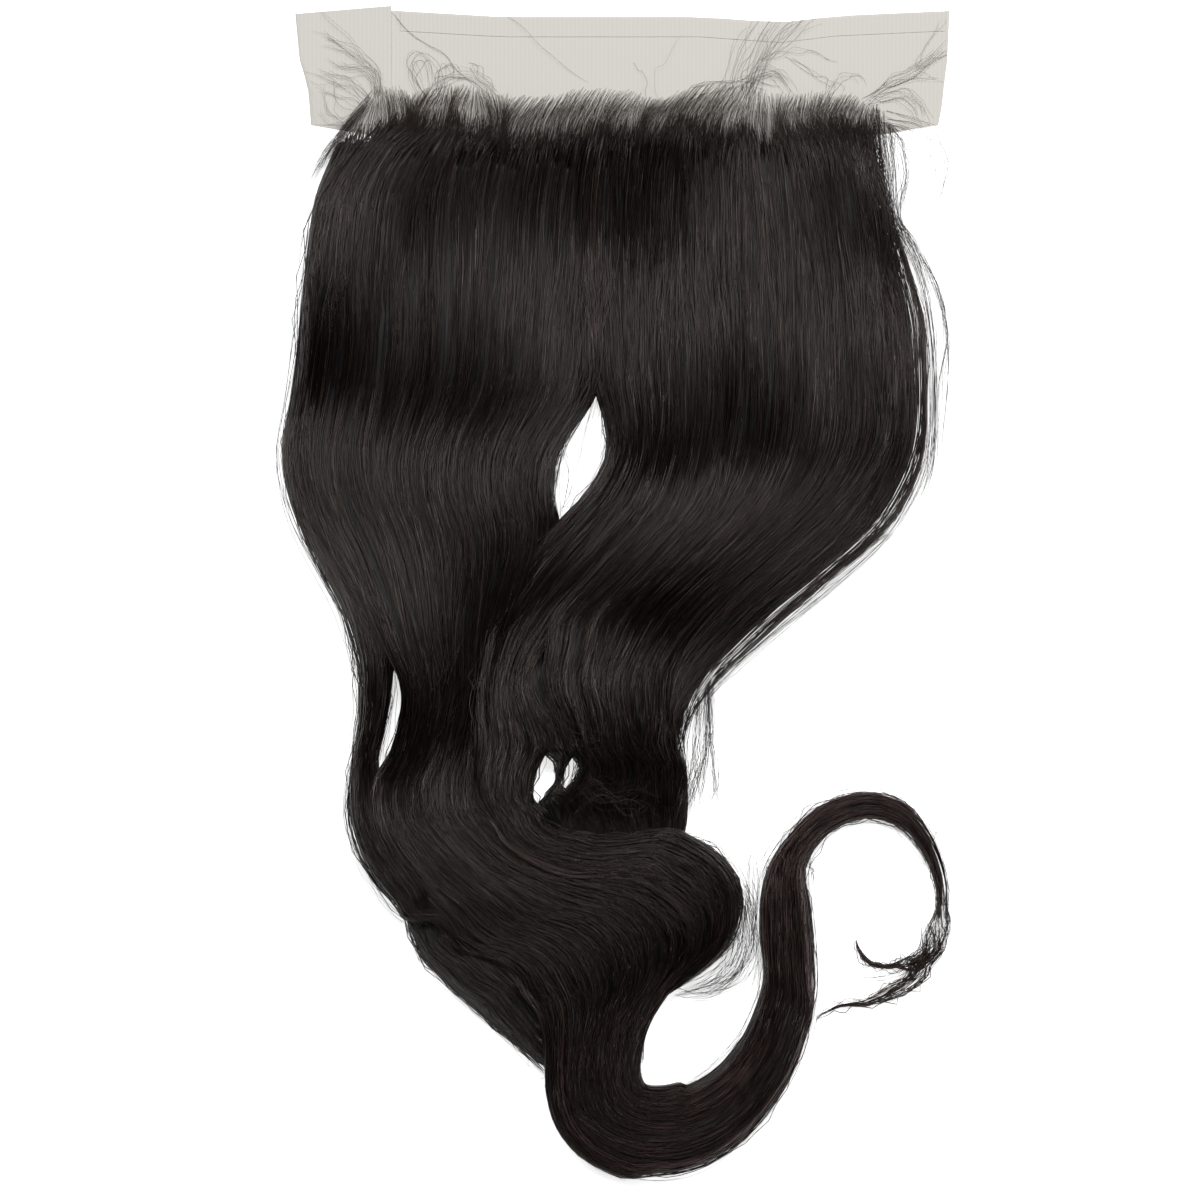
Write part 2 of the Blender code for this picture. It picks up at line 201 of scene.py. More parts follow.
# The waves. Each line runs across a mass where its hair rises or falls the most, from the hairline down.
# A point on it holds X, Y and the slope there: above nought the hair rises on its way to the tip.
leftWaves = [
    [(-145, -16, 0.12), (-122, -16, 0.12), (-101, -18, 0.02), (-65, -20, -0.14), (-29, -20, -0.16),
     (-13, -20, -0.18)],
    [(-145, -34, 0.15), (-122, -36, 0.15), (-101, -50, -0.11), (-65, -40, -0.08), (-29, -38, -0.14),
     (-13, -38, -0.15)],
    [(-143, -56, 0.15), (-122, -58, 0.15), (-101, -78, 0.14), (-65, -84, 0.13), (-29, -88, 0.20),
     (-13, -92, 0.20)],
    [(-143, -112, -0.16), (-122, -114, -0.17), (-101, -118, -0.16), (-65, -130, -0.17), (-29, -134, 0.10)],
    [(-143, -150, 0.18), (-122, -151, 0.17), (-101, -158, 0.14), (-65, -167, 0.17), (-35, -165, 0.08)],
    [(-143, -176, 0.06), (-122, -176, 0.06), (-101, -178, 0.11), (-65, -196, 0.06), (-35, -190, -0.04)],
    [(-130, -218, 0.18), (-101, -222, 0.18), (-85, -226, 0.14), (-65, -220, -0.16)],
    [(-120, -282, -0.08), (-105, -281, -0.18), (-87, -278, -0.18), (-66, -268, -0.14)],
    [(-120, -318, 0.17), (-90, -335, 0.15), (-66, -322, 0.12)],
]
rightWaves = [
    [(-29, -20, -0.16), (7, -20, -0.22), (30, -20, -0.12), (52, -18, 0.06), (76, -16, 0.10), (92, -16, 0.14),
     (117, -20, 0.02)],
    [(-29, -38, -0.14), (7, -40, -0.17), (30, -40, -0.04), (52, -46, 0.10), (76, -44, 0.04), (92, -46, -0.04),
     (117, -50, -0.04)],
    [(-29, -88, 0.20), (7, -106, 0.20), (30, -96, 0.19), (52, -80, 0.18), (76, -94, 0.18), (92, -109, 0.20),
     (117, -120, 0.18)],
    [(-29, -134, 0.10), (0, -150, -0.14), (20, -154, -0.18), (52, -144, -0.14), (76, -148, -0.02),
     (92, -158, 0.10), (117, -158, 0.06)],
    [(-35, -186, 0.16), (-7, -184, 0.20), (18, -184, 0.22), (52, -184, 0.20), (90, -185, 0.19),
     (120, -186, 0.15)],
    [(-56, -216, -0.14), (-20, -213, -0.16), (18, -216, -0.16), (50, -226, 0.00), (80, -236, 0.06)],
    [(-56, -250, 0.13), (-20, -254, 0.18), (18, -260, 0.18), (46, -250, 0.12)],
    [(-56, -290, 0.10), (-38, -290, 0.02), (-20, -288, -0.16), (18, -298, -0.16)],
]
parting = {"fromX": -36.0, "toX": 10.0, "fromY": -136.0, "toY": -112.0}


def softStep(value, low, high):
    share = np.clip((value - low) / (high - low), 0.0, 1.0)
    return share * share * (3 - 2 * share)


class SlopeMap(GridMap):
    # The slopes of the lines and, between them, a soft change from one to the next
    def __init__(self, lines, top=-12.0, tail=32.0):
        self.step, self.x0, self.y0 = allHair.step, allHair.x0, allHair.y0
        rows, columns = allHair.cells.shape
        y = self.y0 + np.arange(rows) * self.step
        self.cells = np.zeros((rows, columns))
        for column in range(columns):
            x = self.x0 + column * self.step
            tables = [np.array(line) for line in lines]
            places = np.array([np.interp(x, table[:, 0], table[:, 1]) for table in tables])
            slopes = np.array([np.interp(x, table[:, 0], table[:, 2]) for table in tables])
            places = np.concatenate([[top], places, [places[-1] - tail]])
            slopes = np.concatenate([[slopes[0]], slopes, [0.0]])
            spot = np.interp(-y, -places, range(len(places)))
            whole = np.floor(spot)
            soft = whole + softStep(spot - whole, 0.0, 1.0)
            self.cells[:, column] = np.interp(soft, range(len(slopes)), slopes)
        self.cells = blurred(self.cells, 2)


leftSlope = SlopeMap(leftWaves)
rightSlope = SlopeMap(rightWaves)
rowsY = (rightSlope.y0 + np.arange(rightSlope.cells.shape[0]) * rightSlope.step)[:, None]
columnsX = (rightSlope.x0 + np.arange(rightSlope.cells.shape[1]) * rightSlope.step)[None, :]
toRight = softStep(columnsX, parting["fromX"], parting["toX"])
above = softStep(rowsY, parting["fromY"], parting["toY"])
shared = leftSlope.cells * (1 - toRight) + rightSlope.cells * toRight
leftSlope.cells = leftSlope.cells * (1 - above) + shared * above
rightSlope.cells = rightSlope.cells * (1 - above) + shared * above
print("slopes of the waves set")


class LockHeights(GridMap):
    # How high a lock's hair lies, on a grid of its rows and its width. Between the rows named in holds it
    # follows the slopes. Its falls take up what its rises leave over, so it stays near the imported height.
    def __init__(self, lock, settings, perRow=4, across=16):
        self.perRow, self.across = perRow, across
        self.step, self.x0, self.y0 = 1.0, 0.0, 0.0
        t = np.arange((lock.rowCount - 1) * perRow + 1)[:, None] / perRow
        u = np.linspace(0.0, 1.0, across + 1)[None, :]
        x, y = lock.place(t + u * 0, u + t * 0)
        packed = settings["heights"].at(x, y)
        self.cells = packed.copy()
        if "slopes" not in settings:
            return
        self.cells = packed + settings["crownMm"] * softStep(t, 0.1, settings["holds"][0]) * (t < 1.1)
        slope = settings["slopes"].at(x, y)
        slope = (slope[1:] + slope[:-1]) / 2
        steps = np.hypot(np.diff(x, axis=0), np.diff(y, axis=0))
        rises, falls = np.maximum(slope, 0.0) * steps, np.maximum(-slope, 0.0) * steps
        stops = [int(round(row * perRow)) for row in settings["holds"]]
        for first, last in zip(stops, stops[1:]):
            climb = packed[last] - self.cells[first]
            spare = rises[first:last].sum(axis=0) - climb
            share = np.clip(spare / (falls[first:last].sum(axis=0) + 0.01), 1.0, 2.5)
            height = np.cumsum(rises[first:last] - share * falls[first:last], axis=0)
            if last == stops[-1]:
                along = np.cumsum(steps[first:last], axis=0)
                height = height + (climb - height[-1]) * along / along[-1]
            self.cells[first + 1:last + 1] = self.cells[first] + height

    def over(self, t, u):
        return self.at(u * self.across, t * self.perRow)


def surfaceOf(settings, y, t, u):
    surface = np.maximum(settings["lies"].over(t, u), settings["lowestMm"])
    if "dive" in settings:
        fromY, toY, low = settings["dive"]
        sunk = softStep(-y, -fromY, -toY)
        surface = surface * (1 - sunk) + np.minimum(surface, low) * sunk
    return surface


# A row for each section across a lock, from root to tip: its two edges in millimetres
Row = namedtuple("Row", "leftX leftY rightX rightY")

leftEdgeRows = [
    Row(-121, 1, -104, -1), Row(-127, -10.5, -104.5, -10.5), Row(-133, -22, -117, -22),
    Row(-141, -42, -128, -42), Row(-145, -70, -131, -70), Row(-148, -100, -134, -100),
    Row(-152, -130, -138, -130), Row(-156, -157, -141, -157), Row(-151, -183, -136, -180),
    Row(-139, -207, -124, -203), Row(-127, -230, -112, -227), Row(-120, -255, -104, -253),
    Row(-120, -278, -106.5, -278), Row(-124, -300, -112, -300), Row(-125, -320, -112, -318),
    Row(-119, -340, -106, -334), Row(-109, -355, -96, -348), Row(-98, -366, -87, -358),
    Row(-85, -371, -73, -360), Row(-70, -381, -58, -366),
]
leftFallRows = [
    Row(-104, -1, -13, 1), Row(-104.5, -10.5, -13, -10.5), Row(-117, -22, -13, -22),
    Row(-128, -42, -13, -42), Row(-131, -70, -13, -70), Row(-134, -100, -13, -100),
    Row(-138, -130, -14, -133), Row(-141, -157, -28, -157), Row(-136, -180, -31, -180),
    Row(-124, -203, -31, -200), Row(-112, -227, -43, -227), Row(-102, -253, -52, -254),
    Row(-101, -272, -57, -272), Row(-105, -288, -60, -288), Row(-111, -303, -61, -303),
    Row(-112, -318, -59, -318), Row(-106, -334, -49, -331), Row(-96, -348, -34, -341),
    Row(-86, -365, -15, -344), Row(-72, -379, 5, -346), Row(-58, -387, 21, -354),
    Row(-46, -396, 31, -368), Row(-38, -406, 29, -383), Row(-34, -418, 18, -398),
    Row(-33, -432, 8, -414), Row(-32, -445, 4, -430),
]
tailRows = [
    Row(-31.5, -447, 4, -431), Row(-26, -461, 6, -441), Row(-14, -473, 14, -443),
    Row(4, -481, 24, -441.5), Row(24, -481, 34, -437), Row(44, -473, 44, -429),
    Row(62, -457, 52, -418), Row(76, -436, 58, -404), Row(84, -411, 61, -390),
    Row(85.5, -386, 59, -372), Row(84, -362, 60, -352), Row(81.5, -344, 66, -336),
    Row(88, -332, 79, -321), Row(99, -324, 93, -312), Row(112, -321.5, 109, -309),
    Row(125, -327, 126, -314), Row(135, -340, 139, -330), Row(139.5, -356, 145, -350),
    Row(138.5, -369, 144, -368), Row(135, -378, 139, -382),
]
upperTipRows = [
    Row(137, -366, 141, -366), Row(134.5, -377, 138.5, -380), Row(127, -382, 129, -387),
    Row(119, -386, 119, -389), Row(111, -384.5, 110, -387.5), Row(106, -379, 104, -381),
    Row(104.5, -375, 103.5, -375.5),
]
lowerTipRows = [
    Row(139, -366, 144, -366), Row(135, -380, 141, -380), Row(127, -390, 136, -393),
    Row(117, -396, 125, -401), Row(108, -402, 110, -405.5), Row(97, -404, 96.5, -406.5),
    Row(86, -410, 85.5, -411.5),
]
crossRows = [
    Row(-13, 1, 20, 1), Row(-13, -10.5, 20, -10.5), Row(-13, -22, 20, -22), Row(-13, -42, 20, -42),
    Row(-13, -70, 20, -70), Row(-13, -100, 20, -100), Row(-12, -134, 20, -134),
    Row(-10.5, -158, 17, -160), Row(-25, -181, 9, -183), Row(-46, -204, -12, -209),
    Row(-60, -229, -32, -233), Row(-65, -254, -46, -257), Row(-68, -272, -43, -273),
    Row(-69, -288, -37, -288), Row(-69, -303, -40, -303), Row(-63, -318, -40.5, -314),
    Row(-51, -331, -32, -322.5), Row(-34, -341, -18, -327.5), Row(-15, -346, 0, -327.5),
    Row(5, -348, 20, -325.5), Row(21, -356, 41, -334), Row(29, -368, 53, -352),
    Row(27, -382, 50, -374), Row(17, -397, 34, -390), Row(8, -408, 16, -402),
    Row(2, -421, 7.5, -416), Row(0, -434, 5, -432),
]
partedRows = [
    Row(-37.5, -240, -30, -240), Row(-46, -258, -35, -260), Row(-43, -273, -30, -275),
    Row(-38.5, -286, -24.5, -287), Row(-33, -296, -24.5, -293), Row(-32, -304, -27, -303),
    Row(-38, -313.5, -27, -311), Row(-36, -324, -20, -322), Row(-30, -334, -14, -332),
]
rightFallRows = [
    Row(20, 1, 101, -1), Row(20, -10.5, 103, -10.5), Row(20, -22, 105.5, -22),
    Row(20, -42, 109, -42), Row(20, -70, 113, -70), Row(20, -100, 116, -100),
    Row(20, -134, 117, -132), Row(17, -160, 114, -155), Row(9, -183, 100, -178),
    Row(-12, -209, 74, -202), Row(-32, -233, 46, -226), Row(-35, -259, 27, -250),
    Row(-30, -274, 23, -271), Row(-24.5, -287, 23.5, -288), Row(-22, -298, 24.5, -302),
    Row(-26.5, -312, 25, -313), Row(-20, -326, 24, -326), Row(-16, -340, 20, -340),
]
rightEdgeRows = [
    Row(101, -1, 113, -6), Row(103, -10.5, 113.5, -14), Row(105.5, -22, 115, -24),
    Row(109, -42, 118, -45), Row(113, -70, 127, -70), Row(116, -100, 135, -98),
    Row(117, -132, 137.5, -132), Row(114, -155, 135, -162), Row(100, -178, 120, -192),
    Row(74, -202, 96, -215), Row(46, -226, 66, -239), Row(27, -250, 44, -258),
    Row(23, -271, 31, -274), Row(20, -290, 26, -290), Row(19, -310, 25.5, -310),
    Row(17, -332, 23, -332),
]
underRows = [
    Row(-99, -362, -82, -354), Row(-95, -380, -66, -368), Row(-84, -394, -50, -378),
    Row(-70, -407, -38, -386), Row(-56, -419, -28, -402), Row(-44, -429, -24, -416),
    Row(-35.5, -437, -22, -430),
]
# The fall runs on into the tail, and the tail starts inside the fall
leftFallRows += tailRows[1:4]
tailRows = leftFallRows[-8:-4] + tailRows

# Two sides are joined when they are this near. Strands run over a joined side and stop short of an open one.
joinMm = {"near": 2.0, "over": 3.4, "short": 0.5}


def smoothLine(spots, points):
    # A smooth line of so many points, which passes through every spot
    t = np.linspace(0, len(spots) - 1, points)
    i = np.minimum(t.astype(int), len(spots) - 2)
    s = (t - i)[:, None]
    before, start = spots[np.maximum(i - 1, 0)], spots[i]
    end, after = spots[i + 1], spots[np.minimum(i + 2, len(spots) - 1)]
    return 0.5 * (
        2 * start
        + (end - before) * s
        + (2 * before - 5 * start + 4 * end - after) * s**2
        + (3 * start - before - 3 * end + after) * s**3
    )


class Lock:
    # Smooth left and right edges through the rows. t counts rows from the root, u runs from left to right.
    def __init__(self, rows, steps=12):
        self.rowCount = len(rows)
        points = (self.rowCount - 1) * steps + 1
        self.t = np.linspace(0, self.rowCount - 1, points)
        self.edges = smoothLine(np.array(rows, float), points)
        middle = (self.edges[:, :2] + self.edges[:, 2:]) / 2
        self.along = np.concatenate([[0], np.cumsum(np.linalg.norm(np.diff(middle, axis=0), axis=1))])
        self.rowMm = self.along[-1] / (self.rowCount - 1)
        self.width = np.linalg.norm(self.edges[:, 2:] - self.edges[:, :2], axis=1)
        self.joins = np.zeros((2, points))

    def findJoins(self, others):
        # A side is joined where it runs along another lock's side
        spots = np.concatenate([o.edges[:, k:k + 2] for o in others for k in (0, 2)])
        for side in (0, 1):
            mine = self.edges[:, 2 * side:2 * side + 2]
            gap = np.sqrt(((mine[:, None] - spots[None]) ** 2).sum(axis=2)).min(axis=1)
            joined = np.pad((gap < joinMm["near"]).astype(float), 3, mode="edge")
            self.joins[side] = np.convolve(joined, np.ones(7) / 7, mode="valid")

    def over(self, t, side):
        # How far strands run past a side: over the neighbour where they join, short of an open side
        join = np.interp(t, self.t, self.joins[side])
        return join * joinMm["over"] - (1 - join) * joinMm["short"]

    def place(self, t, u):
        edge = [np.interp(t, self.t, self.edges[:, k]) for k in range(4)]
        return edge[0] + (edge[2] - edge[0]) * u, edge[1] + (edge[3] - edge[1]) * u

    def widthAt(self, t):
        return np.interp(t, self.t, self.width)


def slowNoise(count, across, along, seed):
    # Smooth random values for count strands: a grid of across by along knots, read with soft steps
    local = np.random.default_rng(seed)
    knots = local.normal(size=(across + 2, along + 2))

    def read(u, v):
        a = np.clip(u, 0, 1) * across
        b = np.clip(v, 0, 1) * along
        i, j = np.minimum(a.astype(int), across - 1), np.minimum(b.astype(int), along - 1)
        s, r = a - i, b - j
        s, r = s * s * (3 - 2 * s), r * r * (3 - 2 * r)
        low = knots[i, j] * (1 - s) + knots[i + 1, j] * s
        high = knots[i, j + 1] * (1 - s) + knots[i + 1, j + 1] * s
        return low * (1 - r) + high * r

    return read


def tubes(paths, radii, name):
    # One mesh of three-sided hairs. paths is strands x points x 3 in millimetres, radii strands x points.
    strands, points = paths.shape[:2]
    ahead = np.empty_like(paths)
    ahead[:, 1:-1] = paths[:, 2:] - paths[:, :-2]
    ahead[:, 0] = paths[:, 1] - paths[:, 0]
    ahead[:, -1] = paths[:, -1] - paths[:, -2]
    ahead /= np.linalg.norm(ahead, axis=2, keepdims=True) + 1e-9
    side = np.cross(ahead, np.array([0.0, 0.0, 1.0]))
    side /= np.linalg.norm(side, axis=2, keepdims=True) + 1e-9
    up = np.cross(side, ahead)
    corners = []
    for turn in (math.pi / 2, math.pi * 7 / 6, math.pi * 11 / 6):
        corners.append(paths + radii[:, :, None] * (side * math.cos(turn) + up * math.sin(turn)))
    spots = np.stack(corners, axis=2).reshape(-1, 3) * mm
    base = np.arange(strands)[:, None, None] * points * 3
    ring = np.arange(points - 1)[None, :, None] * 3
    k = np.arange(3)[None, None, :]
    here, after = base + ring + k, base + ring + (k + 1) % 3
    quads = np.stack([here, after, after + 3, here + 3], axis=3).reshape(-1, 4)
    first = base[:, 0, :1] + np.array([[2, 1, 0]])
    last = base[:, 0, :1] + (points - 1) * 3 + np.array([[0, 1, 2]])
    caps = np.concatenate([first, last])
    mesh = bpy.data.meshes.new(name)
    loops = np.concatenate([quads.ravel(), caps.ravel()])
    sizes = np.concatenate([np.full(len(quads), 4), np.full(len(caps), 3)])
    mesh.vertices.add(len(spots))
    mesh.vertices.foreach_set("co", spots.ravel())
    mesh.loops.add(len(loops))
    mesh.loops.foreach_set("vertex_index", loops)
    mesh.polygons.add(len(sizes))
    mesh.polygons.foreach_set("loop_start", np.concatenate([[0], np.cumsum(sizes)[:-1]]))
    mesh.update(calc_edges=True)
    mesh.shade_smooth()
    layOut(mesh, strands, points)
    return mesh


def layOut(mesh, strands, points):
    # A map with one upright strip for each hair, in rows of at most 400 strips
    floors = (strands + 399) // 400
    perRow = (strands + floors - 1) // floors
    which = np.arange(strands)
    left = (which % perRow + 0.12) / perRow
    right = (which % perRow + 0.88) / perRow
    low = (which // perRow + 0.03) / floors
    high = (which // perRow + 0.97) / floors
    rise = np.linspace(0.0, 1.0, points)
    bottoms = low[:, None] + (high - low)[:, None] * rise[None, :-1]
    tops = low[:, None] + (high - low)[:, None] * rise[None, 1:]
    quads = np.empty((strands, points - 1, 3, 4, 2))
    quads[..., 0, 0] = quads[..., 3, 0] = left[:, None, None]
    quads[..., 1, 0] = quads[..., 2, 0] = right[:, None, None]
    quads[..., 0, 1] = quads[..., 1, 1] = bottoms[:, :, None]
    quads[..., 2, 1] = quads[..., 3, 1] = tops[:, :, None]
    caps = np.empty((2, strands, 3, 2))
    caps[..., 0, 0], caps[..., 1, 0], caps[..., 2, 0] = left, right, right
    small = 0.3 * (high - low) / points
    caps[0, :, 0, 1], caps[0, :, 1, 1], caps[0, :, 2, 1] = low, low, low + small
    caps[1, :, 0, 1], caps[1, :, 1, 1], caps[1, :, 2, 1] = high - small, high - small, high
    layer = mesh.uv_layers.new(name="OFBake")
    layer.uv.foreach_set("vector", np.concatenate([quads.ravel(), caps.ravel()]))


def addHairs(name, paths, radii, tones, material):
    mesh = tubes(paths, radii, name)
    shade = mesh.attributes.new("tone", "FLOAT", "POINT")
    shade.data.foreach_set("value", np.repeat(tones.ravel(), 3))
    mesh.materials.append(material)
    piece = bpy.data.objects.new(name, mesh)
    bpy.context.scene.collection.objects.link(piece)
    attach(piece, "root")


def hairMaterial(name, darkest, palest, warmest, gloss, roughness):
    material = bpy.data.materials.new(name)
    material.use_nodes = True
    nodes, links = material.node_tree.nodes, material.node_tree.links
    shader = nodes["Principled BSDF"]
    tone = nodes.new("ShaderNodeAttribute")
    tone.attribute_name = "tone"
    ramp = nodes.new("ShaderNodeValToRGB")
    ramp.color_ramp.elements[0].color = (*darkest, 1.0)
    ramp.color_ramp.elements[1].color = (*palest, 1.0)
    middle = ramp.color_ramp.elements.new(0.62)
    middle.color = (*warmest, 1.0)
    links.new(tone.outputs["Fac"], ramp.inputs["Fac"])
    links.new(ramp.outputs["Color"], shader.inputs["Base Color"])
    shader.inputs["Roughness"].default_value = roughness
    shader.inputs["Specular IOR Level"].default_value = 0.5
    shader.inputs["Specular Tint"].default_value = (*gloss, 1.0)
    return material


strandBlack = hairMaterial(
    "strandBlack",
    darkest=(0.0016, 0.0008, 0.0007), palest=(0.036, 0.022, 0.018), warmest=(0.0072, 0.0040, 0.0035),
    gloss=(1.0, 0.87, 0.82), roughness=0.32,
)
strandBrown = hairMaterial(
    "strandBrown",
    darkest=(0.0022, 0.0009, 0.0008), palest=(0.045, 0.022, 0.017), warmest=(0.0095, 0.0042, 0.0034),
    gloss=(1.0, 0.76, 0.70), roughness=0.34,
)
flyawayBrown = hairMaterial(
    "flyawayBrown",
    darkest=(0.012, 0.0075, 0.0055), palest=(0.09, 0.062, 0.048), warmest=(0.034, 0.022, 0.016),
    gloss=(1.0, 0.82, 0.74), roughness=0.5,
)


def plainMaterial(name, colour, roughness):
    material = bpy.data.materials.new(name)
    material.use_nodes = True
    shader = material.node_tree.nodes["Principled BSDF"]
    shader.inputs["Base Color"].default_value = (*colour, 1.0)
    shader.inputs["Roughness"].default_value = roughness
    shader.inputs["Specular IOR Level"].default_value = 0.35
    return material


coreBlack = plainMaterial("coreBlack", (0.0024, 0.0014, 0.0012), 0.6)

# Below the hairline the hair sweeps to one side. sweepLine holds X and how far it leans to the left.
sweepLine = [
    (-127, 0.45), (-105, 0.15), (-90, 0.45), (-70, -0.2), (-50, 0.4), (-20, 0.5), (20, 0.6), (45, 0.4),
    (62, -0.1), (78, -0.5), (92, -0.3), (105, 0.1), (118, 0.2),
]
sweepMm = 22.0
# Where the hair first lies dense, as X and Y. The first row of a lock is rootRowMm long.
denseLine = [
    (-127, -15), (-112, -9), (-90, -6), (-66, -7), (-46, -14), (-30, -11), (0, -11), (25, -9), (50, -10),
    (65, -14), (80, -10), (100, -9), (117, -12),
]
rootRowMm = 10.5
# Every strand: its width, how far it wanders to the side, its shift along the waves, and its tone
strandLook = {
    "radiusMm": 0.17, "radiusSpread": 0.05, "thinnestMm": 0.1, "thickestMm": 0.4,
    "fineMm": 0.45, "ownMm": 0.18, "asideMm": 0.6, "fineLiftMm": 0.2, "leanSpread": 0.12,
    "looseShare": 0.12, "looseMm": 3.4, "edgeMm": 5.0, "shiftMm": 5.0, "ownShiftMm": 4.5, "aheadRows": 0.5,
    "tone": 0.26, "toneSpread": 0.26, "fineTone": 0.25, "clumpTone": 0.12, "paleShare": 0.09, "paler": 0.4,
}


def lockStrands(lock, settings):
    # Paths, radii and tones of the strands that cover one lock
    look = strandLook
    count, segments, clumps, seed = (settings[key] for key in ("count", "segments", "clumps", "seed"))
    local = np.random.default_rng(seed)
    last = lock.rowCount - 1
    share = local.permutation((np.arange(count) + local.random(count)) / count)
    begin = local.random(count) * settings["rootSpread"]
    if settings["roots"]:
        dense = np.interp(lock.place(1.0, share)[0], *np.array(denseLine).T)
        begin = -dense / rootRowMm - look["aheadRows"] + local.random(count) * settings["rootSpread"]
        begin = np.maximum(begin, 0.0)
    tip = last - local.random(count) ** settings["tipPower"] * settings["tipSpread"]
    far = np.linspace(0, 1, segments + 1)[None, :]
    t = begin[:, None] + (tip - begin)[:, None] * far
    v = t / last
    u = share[:, None] + np.zeros_like(t)
    width = lock.widthAt(t)
    drift = slowNoise(count, clumps, 10, seed + 1)
    fine = slowNoise(count, count // 3 + 2, 16, seed + 2)
    own = slowNoise(count, count * 2, segments // 2, seed + 5)
    swing = drift(u, v) * settings["driftMm"] / width
    bend = fine(u, v) * look["fineMm"] / width
    kink = own(u, v) * look["ownMm"] / width
    u = u + swing + bend + kink
    u = u + local.normal(size=(count, 1)) * look["asideMm"] / width
    u = 1 - np.abs(1 - np.abs(u))
    mingle = settings["mingleMm"] * (1 - softStep(t, 4.0, 5.4)) * local.random((count, 1))
    overLeft, overRight = lock.over(t, 0), lock.over(t, 1)
    overLeft = overLeft + mingle * (overLeft > 0)
    overRight = overRight + mingle * (overRight > 0)
    u = -overLeft / width + u * (1 + (overLeft + overRight) / width)
    chosen = local.random((count, 1)) < look["looseShare"]
    loose = chosen * local.random((count, 1)) * look["looseMm"] * np.abs(fine(u, v))
    outward = np.where(u < 0.5, -1.0, 1.0) * (np.minimum(u, 1 - u) * width < look["edgeMm"])
    u = u + outward * loose / width * (np.where(u < 0.5, overLeft, overRight) < 0)
    x, y = lock.place(t, u)
    clumpy = slowNoise(count, clumps * 3, 8, seed + 3)
    depth = local.random(count)[:, None] ** 1.4 * settings["depthMm"]
    glint = slowNoise(count, count // 2 + 2, 9, seed + 7)
    lift = clumpy(u, v) * settings["clumpMm"] + fine(u, v) * look["fineLiftMm"]
    lift = lift + own(u, v) * settings["roughMm"] + glint(u, v) * settings["glintMm"]
    shift = slowNoise(count, clumps * 5, 3, seed + 6)(u, v) * look["shiftMm"]
    shift = shift + local.normal(size=(count, 1)) * look["ownShiftMm"]
    z = surfaceOf(settings, y, t + shift * last / lock.along[-1], u) - depth + lift
    ground = laceTop.at(x, y) + 0.25
    fromLeft = u * width + 40 * (overLeft > 0)
    fromRight = (1 - u) * width + 40 * (overRight > 0)
    sunk = local.random(count)[:, None]
    for away, deepest in ((fromLeft, settings["leftDropMm"]), (fromRight, settings["rightDropMm"])):
        drop = np.minimum(0.8 * np.maximum(z - ground, 0), deepest)
        z = z - drop * np.clip(1 - away / look["edgeMm"], 0, 1) ** 1.5 * (0.35 + 0.65 * sunk)
    if "tuck" in settings:
        tuck = settings["tuck"]
        inside = softStep(-y, -tuck["fromY"], -tuck["fromY"] + 12)
        inside = inside * softStep(y, tuck["toY"], tuck["toY"] + 12)
        z = z - tuck["mm"] * inside * (1 - softStep((1 - u) * width, 0.0, tuck["widthMm"]))
    if settings["roots"]:
        lean = np.interp(x, *np.array(sweepLine).T)
        lean = lean + look["leanSpread"] * slowNoise(count, 7, 1, seed + 4)(u, v * 0)
        x = x + lean * sweepMm * np.exp(-np.maximum(6.0 - y, 0.0) / sweepMm)
    z = np.maximum(z, ground)
    radius = look["radiusMm"] + look["radiusSpread"] * local.normal(size=(count, 1))
    radius = np.clip(radius, look["thinnestMm"], look["thickestMm"]) * np.ones_like(t)
    taper = np.minimum(1.0, (1 - far) * 6 + 0.25) * np.minimum(1.0, far * 30 + 0.4)
    tone = look["tone"] + look["toneSpread"] * local.normal(size=(count, 1)) + look["fineTone"] * fine(u, v)
    tone = np.clip(tone + look["clumpTone"] * clumpy(u, v), 0.02, 1.0)
    pale = local.random((count, 1)) < look["paleShare"]
    tone = np.where(pale, tone + look["paler"], tone)
    return np.stack([x, y, z], axis=2), radius * taper, np.clip(tone, 0, 1)


# A core ends short of the strands on every side
coreLook = {
    "rowCuts": 4, "reach": 1.1, "insideMm": 1.0, "clearMm": 0.3, "leastMm": 0.4,
    "depthShare": 0.7, "edgeMm": 6.0, "flattest": 0.08,
}


